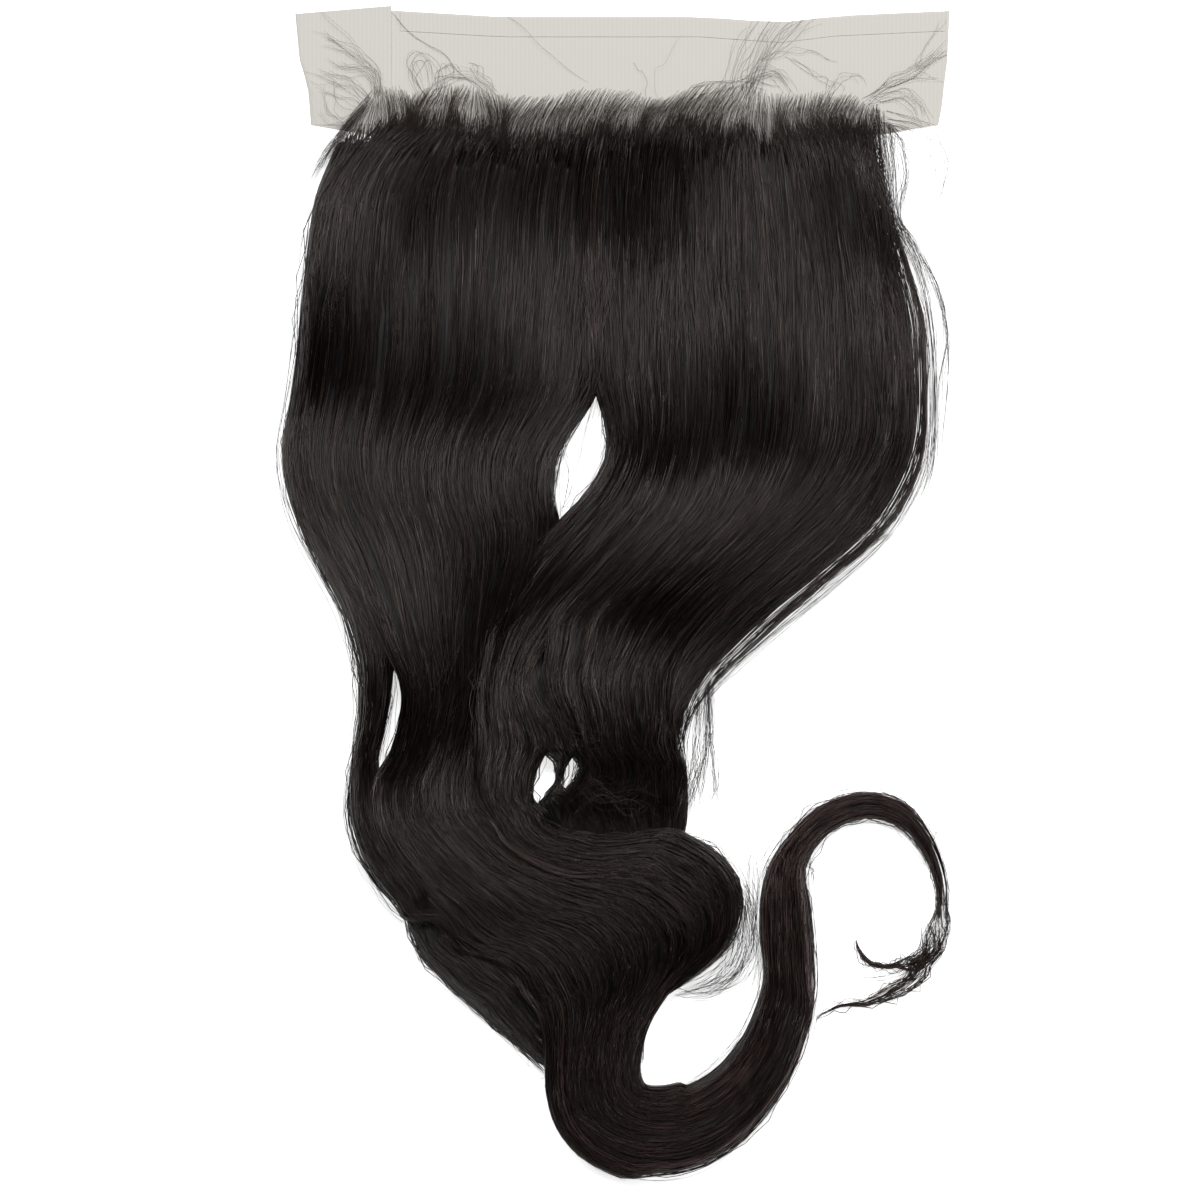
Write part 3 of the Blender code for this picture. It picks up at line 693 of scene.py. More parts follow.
def addCore(name, lock, replaced, settings):
    # The dark inner body of a lock, closed above and below
    look, across = coreLook, settings["coreAcross"]
    start, stop = settings["coreFrom"], lock.rowCount - 1 - settings["coreStop"]
    t = np.linspace(start, stop, int((stop - start) * look["rowCuts"]) + 1)[:, None]
    width = lock.widthAt(t)
    share = (1 - np.cos(np.linspace(0, math.pi, across))) / 2
    ragged = settings["raggedRows"] * np.random.default_rng(settings["seed"]).random(across)[None, :]
    pastLeft = lock.over(t, 0) * look["reach"] - look["insideMm"]
    pastRight = lock.over(t, 1) * look["reach"] - look["insideMm"]
    if "coreTrim" in settings:
        trimFrom, trimTo, left, right = settings["coreTrim"]
        within = softStep(t, trimFrom - 1, trimFrom) * (1 - softStep(t, trimTo, trimTo + 1))
        pastLeft = pastLeft - left * width * within
        pastRight = pastRight - right * width * within
    u = -pastLeft / width + (1 + (pastLeft + pastRight) / width) * share[None, :]
    ends = np.minimum(1.0, np.minimum((t - start) * 1.5 + 0.3, (stop - t) * settings["coreTaper"] + 0.1))
    middle = (1 - (pastLeft - pastRight) / width) / 2
    u = middle + (u - middle) * np.minimum(1.0, (stop - t) * settings["coreTaper"] + 0.1)
    t = t + ragged * np.clip(1.0 - (t - start), 0.0, 1.0)
    x, y = lock.place(t, u)
    ground = laceTop.at(x, y) + look["clearMm"]
    top = surfaceOf(settings, y, t + u * 0, u) - settings["depthMm"] * look["depthShare"] - look["leastMm"]
    edge = np.minimum(u * width + 40 * (pastLeft > 0), (1 - u) * width + 40 * (pastRight > 0))
    rounded = np.clip((edge - look["insideMm"]) / look["edgeMm"], look["flattest"], 1.0)
    top = ground + (np.maximum(top, ground + look["leastMm"]) - ground) * rounded
    if "tuck" in settings:
        tuck = settings["tuck"]
        top = top - tuck["mm"] * (1 - softStep((1 - u) * width, 0.0, tuck["widthMm"]))
    top = ground + np.maximum(top - ground, look["clearMm"]) * ends
    above = np.stack([x, y, top], axis=2)
    below = np.stack([x, y, ground], axis=2)[:, ::-1]
    rings = np.concatenate([above, below], axis=1)
    count = rings.shape[1]
    faces = []
    for i in range(len(rings) - 1):
        for k in range(count):
            after = (k + 1) % count
            faces.append((i * count + k, (i + 1) * count + k, (i + 1) * count + after, i * count + after))
    faces.append(tuple(range(count)))
    faces.append(tuple((len(rings) - 1) * count + k for k in reversed(range(count))))
    mesh = bpy.data.meshes.new(name)
    mesh.from_pydata([tuple(p) for p in rings.reshape(-1, 3) * mm], [], faces)
    mesh.update()
    mesh.materials.append(coreBlack)
    mesh.shade_smooth()
    piece = bpy.data.objects.new(name, mesh)
    bpy.context.scene.collection.objects.link(piece)
    bpy.context.view_layer.objects.active = piece
    piece.select_set(True)
    bpy.ops.object.mode_set(mode="EDIT")
    bpy.ops.mesh.select_all(action="SELECT")
    bpy.ops.mesh.normals_make_consistent(inside=False)
    bpy.ops.object.mode_set(mode="OBJECT")
    piece.select_set(False)
    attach(piece, "root")
    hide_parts(*replaced)


# What every lock starts from. Rows are counted from the root.
usual = {
    "shade": strandBlack, "heights": allHair, "lowestMm": 3.0, "depthMm": 2.6,
    "holds": (1.0, 5.5, 13.0, 18.0), "driftMm": 1.3, "clumpMm": 0.45, "roughMm": 0.6, "glintMm": 0.7,
    "roots": False, "rootSpread": 0.9, "mingleMm": 0.0, "crownMm": 0.0, "tipPower": 2.0, "tipSpread": 1.2,
    "leftDropMm": 30.0, "rightDropMm": 30.0,
    "coreAcross": 22, "coreFrom": 0.0, "coreStop": 0.0, "coreTaper": 1.5, "raggedRows": 0.0,
}
# Locks that start in the lace
rooted = {
    "roots": True, "rootSpread": 1.1, "coreFrom": 1.55, "mingleMm": 8.0, "crownMm": 4.0, "raggedRows": 0.9,
}
locks = {
    "left_edge": {
        **rooted, "rows": leftEdgeRows, "slopes": leftSlope, "nodes": ["hair_left_edge"],
        "count": 150, "segments": 40, "clumps": 3, "seed": 11,
    },
    "left_fall": {
        **rooted, "rows": leftFallRows, "slopes": leftSlope, "nodes": ["hair_left_fall"],
        "count": 660, "segments": 46, "clumps": 14, "seed": 23, "coreAcross": 40,
        "tipSpread": 3.5, "tipPower": 1.0, "coreStop": 2.0,
        "tuck": {"fromY": -186.0, "toY": -318.0, "mm": 5.5, "widthMm": 11.0},
    },
    "tail": {
        "shade": strandBrown, "rows": tailRows, "nodes": ["hair_tail"],
        "count": 240, "segments": 64, "clumps": 5, "seed": 37, "tipSpread": 8.0, "rootSpread": 3.6,
        "coreFrom": 3.0, "coreStop": 1.2, "coreTaper": 0.3,
    },
    "upper_tip": {
        "shade": strandBrown, "rows": upperTipRows, "heights": tipHair, "nodes": ["hair_upper_tip"],
        "count": 44, "segments": 20, "clumps": 2, "seed": 41,
        "tipSpread": 3.0, "depthMm": 1.2, "rootSpread": 1.4,
        "coreFrom": 1.2, "coreStop": 1.5, "coreTrim": (0, 9, 0.4, 0.4), "coreTaper": 0.3,
    },
    "lower_tip": {
        "shade": strandBrown, "rows": lowerTipRows, "heights": tipHair, "nodes": ["hair_lower_tip"],
        "count": 50, "segments": 22, "clumps": 2, "seed": 43,
        "tipSpread": 3.5, "depthMm": 1.2, "rootSpread": 1.4,
        "coreFrom": 1.2, "coreStop": 2.0, "coreTrim": (0, 9, 0.4, 0.4), "coreTaper": 0.3,
    },
    "cross_lock": {
        **rooted, "rows": crossRows, "slopes": rightSlope, "nodes": ["hair_cross_lock"],
        "count": 330, "segments": 60, "clumps": 6, "seed": 53, "leftDropMm": 3.0,
        "tipSpread": 4.0, "tipPower": 1.0, "coreStop": 2.0,
    },
    "parted_lock": {
        "rows": partedRows, "nodes": ["hair_parted_lock"],
        "count": 60, "segments": 18, "clumps": 2, "seed": 61, "dive": (-300.0, -322.0, 6.0), "coreFrom": 0.2,
    },
    "right_fall": {
        **rooted, "rows": rightFallRows, "slopes": rightSlope, "nodes": ["hair_right_fall"],
        "count": 640, "segments": 38, "clumps": 12, "seed": 71, "coreAcross": 40,
        "dive": (-290.0, -322.0, 5.0), "coreTrim": (9.5, 12.5, 0.0, 0.08), "holds": (1.0, 5.5, 13.0),
    },
    "right_edge": {
        **rooted, "rows": rightEdgeRows, "slopes": rightSlope, "nodes": ["hair_right_edge"],
        "count": 190, "segments": 34, "clumps": 4, "seed": 83, "dive": (-290.0, -322.0, 4.0),
        "tipSpread": 8.0, "tipPower": 0.9, "coreTrim": (3, 13, 0.0, 0.3), "holds": (1.0, 5.5, 13.0),
    },
    "under_lock": {
        "rows": underRows, "heights": underHair, "nodes": ["hair_under_lock"],
        "count": 120, "segments": 16, "clumps": 3, "seed": 97,
    },
}

shapes = {name: Lock(own["rows"]) for name, own in locks.items()}
for lockName, lock in shapes.items():
    lock.findJoins([other for name, other in shapes.items() if name != lockName])


class TopMap(GridMap):
    # The top of the hair that follows the waves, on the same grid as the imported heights
    def __init__(self, lies, closeCells=4):
        self.step, self.x0, self.y0 = allHair.step, allHair.x0, allHair.y0
        self.cells = np.zeros(allHair.cells.shape)
        for name, heights in lies.items():
            lock = shapes[name]
            t, u = np.meshgrid(np.arange(0, lock.rowCount - 1, 0.04), np.linspace(0, 1, 90), indexing="ij")
            x, y = lock.place(t, u)
            row = np.round((y - self.y0) / self.step).astype(int)
            column = np.round((x - self.x0) / self.step).astype(int)
            np.maximum.at(self.cells, (row, column), heights.over(t, u))
        self.cells = -spreadMost(-spreadMost(self.cells, closeCells), closeCells)
        self.cells = blurred(np.where(self.cells > 0.5, self.cells, allHair.cells), 1)


lies = {name: LockHeights(shapes[name], {**usual, **own}) for name, own in locks.items() if "slopes" in own}
hairTop = TopMap(lies)
locks["parted_lock"]["heights"] = hairTop
print("locks follow the waves")

for lockName, own in locks.items():
    lock = shapes[lockName]
    own["lies"] = lies.get(lockName) or LockHeights(lock, {**usual, **own})
    settings = {**usual, **own}
    addCore(lockName + "_core", lock, settings["nodes"], settings)
    paths, radii, tones = lockStrands(lock, settings)
    addHairs(lockName + "_strands", paths, radii, tones, settings["shade"])
    print("combed", lockName, len(paths), "strands")


# Fine hairs knotted into the lace in rows, which lean over before they fall in with the rest.
# frontLine holds X and Y of the foremost knots, leanLine X and how far a hair leans left on its way down.
frontLine = [
    (-127, -12), (-122, -4), (-117, 3), (-112, 8.5), (-104, 9), (-97, 5.5), (-90, 7.5), (-80, 9.5), (-70, 9),
    (-60, 6), (-50, 4.5), (-40, 4), (-30, 5), (-20, 7), (-8, 7.5), (2, 6.5), (10, 4), (20, 3.5), (28, 7),
    (35, 9.5), (45, 10), (55, 9), (63, 7), (72, 5.5), (80, 5), (90, 6), (100, 5.5), (108, 3), (114, 1),
    (118, -3), (121, -9),
]
leanLine = [
    (-127, 0.7), (-115, 0.6), (-108, -0.3), (-100, -0.4), (-92, 0.3), (-84, 0.7), (-72, 0.2), (-64, -0.5),
    (-56, -0.1), (-48, 0.6), (-30, 0.5), (0, 0.55), (30, 0.7), (48, 0.6), (58, 0.3), (66, -0.3), (74, 0.1),
    (84, 0.1), (95, 0.35), (106, 0.5), (114, 0.1), (121, -0.2),
]
# How far hairs splay outwards near both ends of the hairline, as X and share
splayLine = [(-126, -0.35), (-100, 0.0), (100, 0.0), (120, -0.1)]
rootHairs = {
    "knotMm": 1.3, "rows": 9, "perKnot": 2, "fromX": -128.0, "toX": 114.0, "points": 6, "beforeMm": 8.0,
    "leastDeepMm": 6.0, "leastRampMm": 8.0, "mostRampMm": 20.0, "leastMm": 12.0, "mostMm": 26.0,
    "bendMm": 11.0, "leanMost": 1.5, "liftMm": 1.2, "sinkMm": 4.0, "laterMm": 24.0,
    "thinMm": 0.028, "thickMm": 0.048, "tone": 0.8, "paintedShade": 0.7, "seed": 131,
}


def combRoots(settings):
    local = np.random.default_rng(settings["seed"])
    columns = np.arange(settings["fromX"], settings["toX"], settings["knotMm"])
    row, column = np.meshgrid(np.arange(settings["rows"]), columns, indexing="ij")
    row, column = np.repeat(row.ravel(), settings["perKnot"]), np.repeat(column.ravel(), settings["perKnot"])
    count = len(row)
    x0 = column + row % 2 * settings["knotMm"] / 2 + local.normal(size=count) * 0.35
    front = np.interp(x0, *np.array(frontLine).T)
    spot = (x0 - settings["fromX"]) / (settings["toX"] - settings["fromX"])
    uneven = slowNoise(count, 40, 1, settings["seed"] + 1)(spot, spot * 0)
    dense = np.interp(x0, *np.array(denseLine).T)
    deep = np.maximum(front - dense - settings["beforeMm"], settings["leastDeepMm"])
    y0 = front - row / settings["rows"] * deep - 0.8 * np.abs(uneven) + local.normal(size=count) * 0.6
    lean = settings["leanMost"] * np.interp(x0, *np.array(leanLine).T)
    lean = lean + 0.2 * slowNoise(count, 30, 1, settings["seed"] + 2)(spot, spot * 0)
    lean = lean + 0.1 * local.normal(size=count)
    reach = local.uniform(settings["leastMm"], settings["mostMm"], count)
    gone = np.linspace(0, 1, settings["points"])[None, :] ** 1.2 * reach[:, None]
    bend = settings["bendMm"]
    outward = np.interp(x0, *np.array(splayLine).T)
    x = x0[:, None] - lean[:, None] * bend * (1 - np.exp(-gone / bend)) + outward[:, None] * gone
    y = y0[:, None] - gone
    rise = local.uniform(0.1, settings["liftMm"], count)[:, None] * np.minimum(1.0, gone / 6.0)
    later = local.random(count)[:, None] * settings["laterMm"]
    rise = rise - settings["sinkMm"] * softStep(-y - later, 3.0, 13.0)
    ramp = local.uniform(settings["leastRampMm"], settings["mostRampMm"], count)[:, None]
    ground = laceTop.at(x, y) + 0.2
    z = np.maximum(ground, hairTop.at(x, y) * np.minimum(1.0, 0.12 + gone / ramp))
    z = np.maximum(z + rise, ground)
    radii = local.uniform(settings["thinMm"], settings["thickMm"], count)[:, None] * np.ones_like(x)
    radii = radii * np.minimum(1.0, (1 - gone / reach[:, None]) * 4 + 0.2)
    tones = settings["tone"] + 0.15 * local.normal(size=(count, 1))
    # The hairs darken as they run back under the dense hair: painted shade.
    tones = tones - settings["paintedShade"] * softStep(-y, -1.0, 14.0)
    return np.stack([x, y, z], axis=2), radii, np.clip(tones, 0.0, 1.0)


# Painted shade: dark hairs below the others, which thicken towards the line where the hair lies dense
shadeHairs = {
    "count": 1500, "fromX": -126.0, "toX": 113.0, "aheadMm": 5.0, "spreadMm": 10.0, "lengthMm": 15.0,
    "share": 0.5, "thinMm": 0.1, "thickMm": 0.18, "seed": 137,
}


def combShadeHairs(settings):
    local = np.random.default_rng(settings["seed"])
    count = settings["count"]
    x0 = local.uniform(settings["fromX"], settings["toX"], count)
    dense = np.interp(x0, *np.array(denseLine).T)
    y0 = dense + settings["aheadMm"] - settings["spreadMm"] * local.random(count) ** 0.7
    gone = np.linspace(0, settings["lengthMm"], 4)[None, :]
    lean = 0.5 * np.interp(x0, *np.array(sweepLine).T) + 0.1 * local.normal(size=count)
    x = x0[:, None] - lean[:, None] * gone
    y = y0[:, None] - gone
    z = np.maximum(laceTop.at(x, y) + 0.2, hairTop.at(x, y) * settings["share"])
    radii = local.uniform(settings["thinMm"], settings["thickMm"], count)[:, None]
    return np.stack([x, y, z], axis=2), radii * np.array([[0.3, 1.0, 1.0, 0.8]]), np.zeros_like(x)


addHairs("hairline_roots", *combRoots(rootHairs), flyawayBrown)
addHairs("hairline_shade", *combShadeHairs(shadeHairs), coreBlack)
print("hairline knotted")

# Loose hairs along guide lines: points in millimetres, number of hairs, spread at both ends, and lift
Wisp = namedtuple("Wisp", "points hairs startMm endMm liftMm")
hairlineWisps = [
    Wisp([(-111, 5), (-111, 14), (-116, 19), (-124, 23), (-133, 29), (-137, 31)], 8, 1.0, 3.0, 3.0),
    Wisp([(-110, 4), (-112, 12), (-119, 18), (-127, 18), (-130, 22)], 6, 2.0, 4.0, 3.0),
    Wisp([(-114, 3), (-120, 10), (-128, 12), (-136, 16)], 6, 2.5, 4.0, 2.0),
    Wisp([(-116, 0), (-124, 4), (-133, 8), (-141, 10)], 7, 3.0, 4.0, 2.0),
    Wisp([(-126, -8), (-132, -3), (-134, 4), (-131, 10)], 4, 2.0, 3.0, 2.0),
    Wisp([(-124, -6), (-132, -9), (-135, -4), (-134, 3)], 3, 2.0, 2.0, 2.0),
    Wisp([(-88, 3), (-93, 10), (-97, 18), (-93, 24), (-87, 20), (-84, 12), (-82, 4)], 4, 1.0, 2.5, 3.0),
    Wisp([(-90, 5), (-94, 14), (-91, 21), (-87, 13), (-86, 4)], 4, 1.5, 1.5, 3.0),
    Wisp([(-84, 6), (-83, 14), (-79, 18), (-76, 15), (-77, 9)], 4, 1.5, 2.0, 3.0),
    Wisp([(-86, 8), (-78, 13), (-70, 13), (-62, 8), (-55, 4)], 9, 2.5, 3.5, 3.0),
    Wisp([(-69, 18), (-65, 13), (-60, 9), (-56, 4)], 4, 1.5, 1.5, 2.0),
    Wisp([(-141, 47), (-128, 33), (-112, 17), (-103, 7)], 2, 1.0, 1.5, 4.0),
    Wisp([(-104, 40), (-92, 28), (-80, 19), (-70, 9)], 2, 1.0, 1.5, 4.0),
    Wisp([(-55, 39.5), (-42, 30), (-28, 17), (-12, 7)], 1, 0.5, 0.5, 4.0),
    Wisp([(14, 5), (15, 12), (19, 20), (24, 32)], 1, 0.3, 0.3, 4.0),
    Wisp([(5, 19), (8, 12), (8, 3)], 1, 0.3, 0.3, 3.0),
    Wisp([(54, 4), (55, 13), (60, 25), (67, 36), (73, 46)], 11, 2.0, 6.0, 5.0),
    Wisp([(57, 5), (60, 15), (68, 26), (80, 37), (90, 43)], 7, 1.5, 5.0, 5.0),
    Wisp([(47, 5), (48, 15), (52, 26), (58, 34)], 5, 2.0, 4.0, 4.0),
    Wisp([(58, 6), (62, 20), (66, 27), (62, 32)], 3, 2.0, 3.0, 4.0),
    Wisp([(52, 7), (60, 13), (68, 13), (76, 4)], 12, 2.5, 2.0, 4.0),
    Wisp([(30, 8), (45, 11), (58, 11), (70, 8)], 5, 1.5, 2.0, 3.0),
    Wisp([(62, 20), (75, 23), (86, 21), (96, 15)], 2, 1.5, 3.0, 3.0),
    Wisp([(72, 19), (85, 12), (92, 9), (93, 3)], 3, 1.5, 2.0, 3.0),
    Wisp([(90, 5), (95, 12), (101, 13), (105, 9)], 3, 2.0, 2.0, 3.0),
    Wisp([(109, 2), (120, 10), (132, 16), (146, 28)], 9, 2.0, 3.0, 3.0),
    Wisp([(131, 17), (136, 28), (146, 42)], 2, 0.6, 1.5, 3.0),
    Wisp([(116, 8), (132, 12), (145, 11)], 3, 1.5, 2.0, 3.0),
    Wisp([(130, 16), (140, 21), (147, 24)], 3, 1.0, 2.0, 3.0),
    Wisp([(112, 2), (122, 4), (130, 0), (134, -10)], 9, 3.0, 3.5, 2.5),
]
sheerWisps = [
    Wisp([(117, -7), (130, -11), (140, -17), (144, -30), (141, -45), (136, -57)], 6, 3.0, 4.0, 4.0),
    Wisp([(118, -9), (130, -14), (138, -24), (138, -38), (130, -55)], 5, 3.0, 4.0, 4.0),
    Wisp([(117, -9), (124, -16), (127, -30), (124, -45), (123, -58)], 16, 2.0, 2.0, 4.0),
    Wisp([(119, -12), (121, -28), (121, -42), (124, -60), (131, -75)], 22, 1.5, 2.0, 4.0),
    Wisp([(113, -6), (116, -25), (117, -40), (121, -56), (128, -72)], 44, 3.5, 2.5, 3.0),
    Wisp([(122, -50), (132, -66), (140, -84), (144, -104), (142, -122), (140, -138)], 12, 1.0, 0.8, 3.0),
    Wisp([(124, -54), (133, -69), (141, -88), (145.5, -112), (143, -140), (140, -165)], 6, 1.0, 1.5, 3.0),
    Wisp([(121, -52), (130, -68), (136, -88), (139, -112), (139.5, -150), (136, -172), (124, -191)],
         28, 1.8, 2.4, 3.0),
    Wisp([(118, -193), (98, -209), (76, -227), (55, -245), (38, -262), (28, -280)], 16, 1.2, 2.5, 2.0),
    Wisp([(112, -190), (90, -208), (66, -228), (44, -248), (30, -266), (25, -282)], 22, 2.0, 3.0, 3.0),
    Wisp([(37, -262), (37, -276), (36, -290), (34, -300), (31, -312), (26, -324)], 26, 1.4, 3.0, 2.0),
    Wisp([(38, -260), (38, -280), (39.5, -296), (40.5, -306), (39, -314), (33, -327)], 14, 1.0, 2.0, 2.0),
    Wisp([(30, -268), (27, -285), (28, -300), (30, -310), (27, -324)], 20, 2.0, 2.5, 2.0),
    Wisp([(34, -266), (33, -285), (31, -300), (27, -310), (24, -322)], 14, 1.0, 2.0, 2.0),
    Wisp([(53, -350), (57, -362), (56, -378), (50, -390), (38, -398), (22, -399.5)], 24, 2.4, 1.5, 3.0),
    Wisp([(50, -370), (47.5, -382), (41, -390), (33, -395), (22, -398)], 22, 1.6, 1.5, 3.0),
    Wisp([(53, -358), (53.5, -375), (49, -388), (40, -395), (24, -399)], 20, 1.6, 1.6, 3.0),
    Wisp([(57, -338), (57, -355), (59, -372), (60, -388), (57, -404)], 12, 2.0, 2.0, 2.0),
    Wisp([(22, -400), (35, -402), (48, -397), (57, -385), (58, -368)], 5, 1.0, 1.5, 2.0),
    Wisp([(144, -358), (144.5, -368), (142, -378), (137, -387), (128, -397), (116, -404)], 8, 0.8, 1.4, 1.0),
    Wisp([(137, -372), (131, -386), (122, -391), (112, -394), (104, -393)], 8, 1.5, 2.5, 1.0),
    Wisp([(133, -384), (122, -395), (110, -401), (98, -402), (86, -396)], 8, 2.0, 3.5, 1.0),
    Wisp([(84, -348), (84, -344), (82, -338), (86, -334)], 8, 1.0, 1.0, 2.0),
    Wisp([(-33, -132), (-30, -150), (-25, -165), (-29, -185)], 5, 2.0, 2.5, 3.0),
    Wisp([(-12, -130), (-17, -150), (-22, -170), (-31, -190)], 4, 2.0, 3.0, 3.0),
]

# Painted highlight: pale streaks on the right fall and atop the turn, with a few messy hairs by the two small
# gaps
sheenStreakWisps = [
    Wisp([(103, -92), (107, -120), (109, -148), (102, -174)], 12, 2.5, 2.5, 0.3),
    Wisp([(117, -84), (125, -112), (127, -146), (118, -180)], 14, 2.0, 2.5, 0.3),
    Wisp([(108, -178), (90, -198), (66, -218), (44, -240)], 14, 4.0, 3.0, 0.3),
    Wisp([(-62, -318), (-40, -338), (-12, -350), (14, -357), (30, -370), (32, -386)], 14, 7.0, 3.0, 0.3),
    Wisp([(-30, -338), (-4, -343), (20, -347), (36, -360), (41, -374)], 12, 5.0, 3.0, 0.3),
    Wisp([(14, -352), (27, -362), (32, -374), (28, -388)], 12, 1.5, 2.0, 0.3),
    Wisp([(-20, -306), (-10, -313), (2, -312), (14, -318)], 8, 4.0, 6.0, 2.0),
    Wisp([(-26, -318), (-14, -309), (-2, -318), (10, -310)], 8, 4.0, 6.0, 2.0),
    Wisp([(-38, -262), (-30, -276), (-14, -284), (4, -282)], 8, 4.0, 5.0, 1.0),
    Wisp([(3, -385), (0, -400), (-3, -418), (2, -434), (14, -448)], 10, 4.0, 5.0, 0.3),
    Wisp([(-22, -452), (-6, -464), (16, -468), (36, -460)], 10, 3.0, 4.0, 0.3),
]
wispLooks = {
    "hairline_flyaways": {"wisps": hairlineWisps, "seed": 151, "points": 20, "thinMm": 0.035, "thickMm": 0.06,
                          "onTop": 0.9, "tone": 0.4, "shade": flyawayBrown},
    "sheer_wisps": {"wisps": sheerWisps, "seed": 163, "points": 24, "thinMm": 0.055, "thickMm": 0.095,
                    "onTop": 0.9, "tone": 0.4, "shade": strandBlack},
    # The pale tone of these streaks is painted highlight
    "turn_streaks": {"wisps": sheenStreakWisps, "seed": 157, "points": 16, "thinMm": 0.07, "thickMm": 0.11,
                     "onTop": 1.02, "tone": 0.9, "shade": strandBlack},
}


def evenHairs(local, paths, look):
    # One radius and one tone for each hair, all along it
    shape = paths.shape[:2]
    radii = local.uniform(look["thinMm"], look["thickMm"], (shape[0], 1)) * np.ones(shape)
    tones = np.clip(look["tone"] + 0.2 * local.normal(size=(shape[0], 1)), 0, 1) * np.ones(shape)
    return radii, tones


def combWisps(look):
    points = look["points"]
    local = np.random.default_rng(look["seed"])
    paths = []
    for wisp in look["wisps"]:
        guide = smoothLine(np.array(wisp.points, float), points)
        along = np.linspace(0, 1, points)[None, :]
        wide = wisp.startMm * (1 - along) + wisp.endMm * along
        offset = local.normal(size=(wisp.hairs, 1, 2)) * 0.75 * wide[:, :, None]
        wave = slowNoise(1, wisp.hairs * 2 + 1, 5, local.integers(1, 9999))
        place = np.linspace(0, 1, wisp.hairs)[:, None] + along * 0
        down = along + place * 0
        offset = offset + np.stack([wave(place, down), wave(1 - place, down)], axis=2)
        trimmed = 1 - local.random((wisp.hairs, 1)) * 0.25
        spots = guide[None] + offset
        x, y = spots[..., 0], spots[..., 1]
        for axis in (x, y):
            for row, stop in enumerate(trimmed[:, 0]):
                axis[row] = np.interp(np.linspace(0, stop, points), np.linspace(0, 1, points), axis[row])
        lift = local.random((wisp.hairs, 1)) * wisp.liftMm * np.sin(math.pi * np.clip(along, 0.02, 1))
        z = np.maximum(laceTop.at(x, y) + 0.3, hairTop.at(x, y) * look["onTop"]) + lift
        paths.append(np.stack([x, y, z], axis=2))
    paths = np.concatenate(paths)
    radii, tones = evenHairs(local, paths, look)
    return paths, radii * np.minimum(1.0, np.linspace(1, 0, points)[None, :] * 4 + 0.35), tones


for wispName, look in wispLooks.items():
    addHairs(wispName, *combWisps(look), look["shade"])

# Single hairs that stray from the flow of a lock: how many on each
strayHairs = {
    "left_fall": 240, "right_fall": 250, "cross_lock": 90, "left_edge": 24, "tail": 60, "right_edge": 24,
}
# Hairs that stand off an open side of a lock: the side, the first and last row, and how many
sideHairs = {
    "left_edge": (0, 2, 17, 30), "left_fall": (1, 6, 9, 6), "right_edge": (1, 4, 12, 20),
    "tail": (0, 4, 20, 26), "under_lock": (0, 0, 6, 10), "cross_lock": (1, 19, 23, 8),
    "right_fall": (1, 12, 15, 6),
}
sidesMore = {"tail": (1, 3, 20, 24), "cross_lock": (0, 6, 8, 5), "left_edge": (1, 9, 14, 10)}
strayLook = {
    "seed": 171, "points": 10, "leastMm": 25.0, "mostMm": 80.0, "asideMm": 12.0, "curlMm": 5.0,
    "thinMm": 0.06, "thickMm": 0.10, "tone": 0.75,
}
sideLook = {
    "points": 18, "leastMm": 40.0, "mostMm": 130.0, "awayMm": 4.5, "insideMm": 0.8,
    "thinMm": 0.045, "thickMm": 0.08, "tone": 0.4,
}


def combStrays(shares, look):
    local = np.random.default_rng(look["seed"])
    paths = []
    for name, count in shares.items():
        lock = shapes[name]
        start = local.random((count, 1)) * (lock.rowCount - 2.4) + 0.8
        along = np.linspace(0, 1, look["points"])[None, :]
        reach = local.uniform(look["leastMm"], look["mostMm"], (count, 1)) / lock.rowMm
        t = np.clip(start + along * reach, 0, lock.rowCount - 1)
        aside = local.normal(size=(count, 1)) * look["asideMm"] * along
        aside = aside + local.normal(size=(count, 1)) * look["curlMm"] * along**2
        u = np.clip(local.random((count, 1)) + aside / lock.widthAt(t), -0.02, 1.02)
        x, y = lock.place(t, u)
        z = surfaceOf({**usual, **locks[name]}, y, t, u)
        z = z + local.uniform(0.1, 1.0, (count, 1)) * np.sin(math.pi * along)
        paths.append(np.stack([x, y, np.maximum(z, laceTop.at(x, y) + 0.3)], axis=2))
    paths = np.concatenate(paths)
    return paths, *evenHairs(local, paths, look)


def combSides(shares, seed, look):
    local = np.random.default_rng(seed)
    paths = []
    for name, (side, first, last, count) in shares.items():
        lock = shapes[name]
        start = local.uniform(first, last - 1, (count, 1))
        along = np.linspace(0, 1, look["points"])[None, :]
        reach = local.uniform(look["leastMm"], look["mostMm"], (count, 1)) / lock.rowMm
        t = np.minimum(start + along * reach, last)
        away = local.random((count, 1)) ** 1.6 * look["awayMm"] * np.sin(math.pi * along) ** 0.8
        away = away - look["insideMm"]
        u = -away / lock.widthAt(t) if side == 0 else 1 + away / lock.widthAt(t)
        x, y = lock.place(t, u)
        x = x + slowNoise(count, count * 2, 6, seed + count)(start * 0.05, along + start * 0) * 0.35
        low = laceTop.at(x, y) + 0.3
        z = low + (allHair.at(x, y) * 0.6) * local.random((count, 1)) + 0.5 * np.sin(math.pi * along)
        paths.append(np.stack([x, y, z], axis=2))
    paths = np.concatenate(paths)
    return paths, *evenHairs(local, paths, look)


addHairs("stray_hairs", *combStrays(strayHairs, strayLook), strandBlack)
addHairs("side_hairs", *combSides(sideHairs, 181, sideLook), strandBlack)
addHairs("side_hairs_more", *combSides(sidesMore, 191, sideLook), strandBlack)
print("loose hairs added")

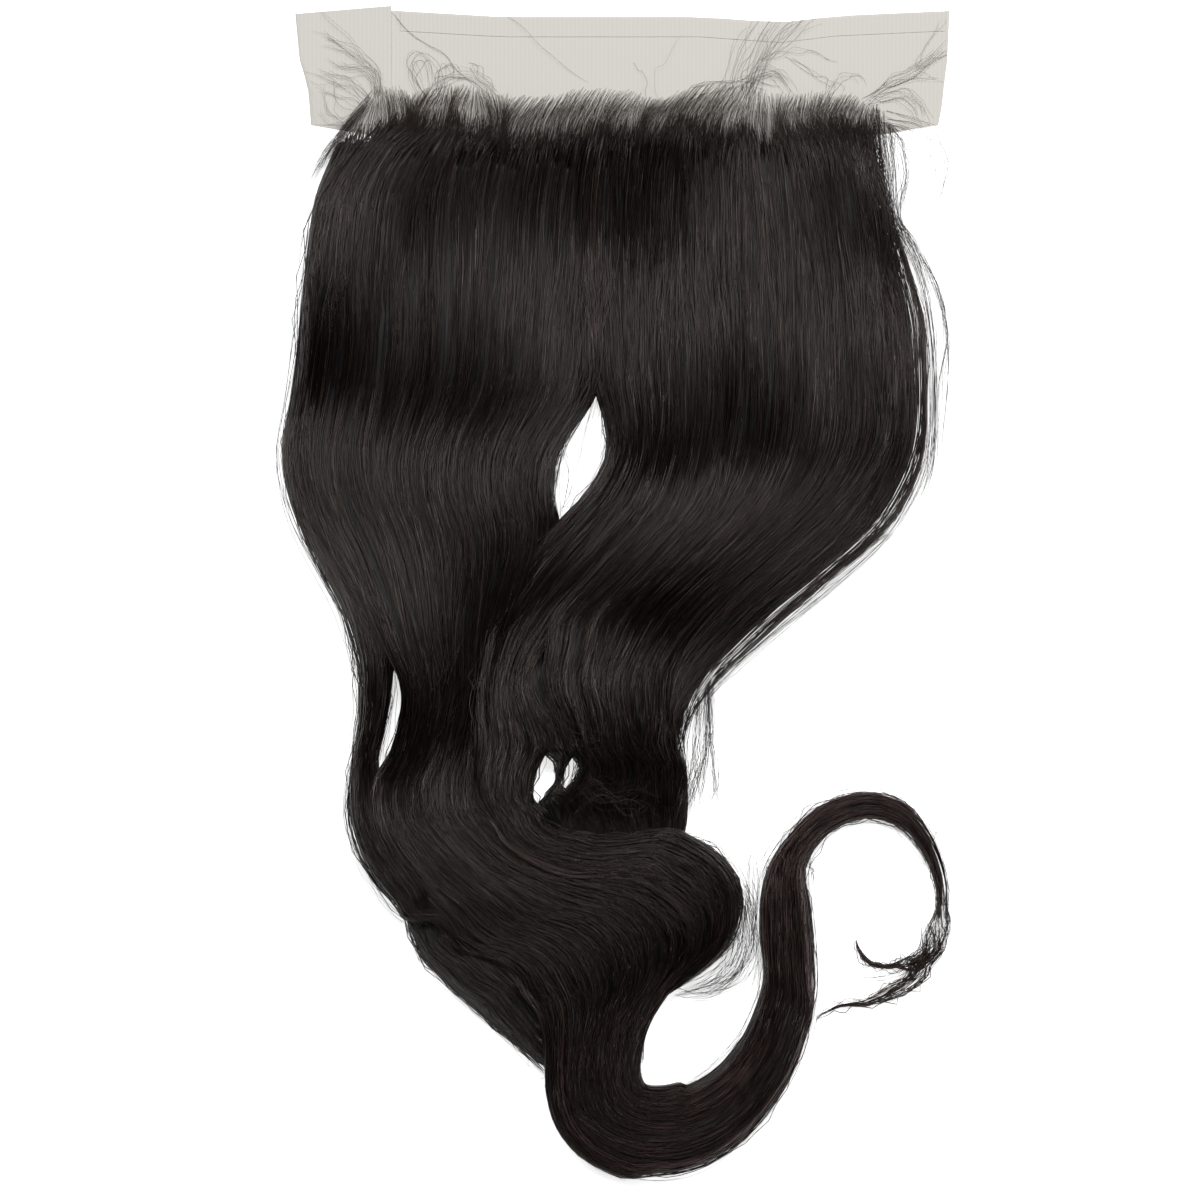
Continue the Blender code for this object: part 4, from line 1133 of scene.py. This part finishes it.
# The lace: fine net with its left end folded over on top, and the front edge turned back.
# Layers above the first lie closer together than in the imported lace.
layers = {"firstMm": 1.0, "share": 0.4}
laceLook = {"colour": (0.67, 0.64, 0.60), "ribMm": 0.95, "darkRib": 0.955, "uneven": 0.6, "roughness": 0.75}


def laceMaterial(name, look):
    material = bpy.data.materials.new(name)
    material.use_nodes = True
    nodes, links = material.node_tree.nodes, material.node_tree.links
    shader = nodes["Principled BSDF"]
    places = nodes.new("ShaderNodeTexCoord")
    ribs = nodes.new("ShaderNodeTexWave")
    ribs.wave_type = "BANDS"
    ribs.bands_direction = "X"
    ribs.inputs["Scale"].default_value = 1.0 / (look["ribMm"] * mm) / math.pi * 0.5
    ribs.inputs["Distortion"].default_value = look["uneven"]
    mix = nodes.new("ShaderNodeMix")
    mix.data_type = "RGBA"
    mix.inputs["A"].default_value = (*[c * look["darkRib"] for c in look["colour"]], 1.0)
    mix.inputs["B"].default_value = (*look["colour"], 1.0)
    links.new(places.outputs["Object"], ribs.inputs["Vector"])
    links.new(ribs.outputs["Fac"], mix.inputs["Factor"])
    links.new(mix.outputs["Result"], shader.inputs["Base Color"])
    shader.inputs["Roughness"].default_value = look["roughness"]
    shader.inputs["Specular IOR Level"].default_value = 0.2
    return material


laceNet = laceMaterial("laceNet", laceLook)


def addLaceFromNode(name, node, material):
    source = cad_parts[node]
    mesh = source.data.copy()
    mesh.name = name
    mesh.materials.clear()
    mesh.materials.append(material)
    for vertex in mesh.vertices:
        above = vertex.co.z / mm - layers["firstMm"]
        if above > 0:
            vertex.co.z = (layers["firstMm"] + above * layers["share"]) * mm
    piece = bpy.data.objects.new(name, mesh)
    bpy.context.scene.collection.objects.link(piece)
    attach(piece, "root")
    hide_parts(node)
    return piece


laceSheet = addLaceFromNode("lace_net", "lace_base", laceNet)
addLaceFromNode("lace_front_band", "lace_hem", laceNet)
print("lace laid out")

visible = [piece for piece in bpy.data.objects if piece.type == "MESH" and piece.visible_get()]
counts = [sum(len(face.vertices) - 2 for face in piece.data.polygons) for piece in visible]
print("triangles:", sum(counts), "in all,", max(counts), "in the largest piece")
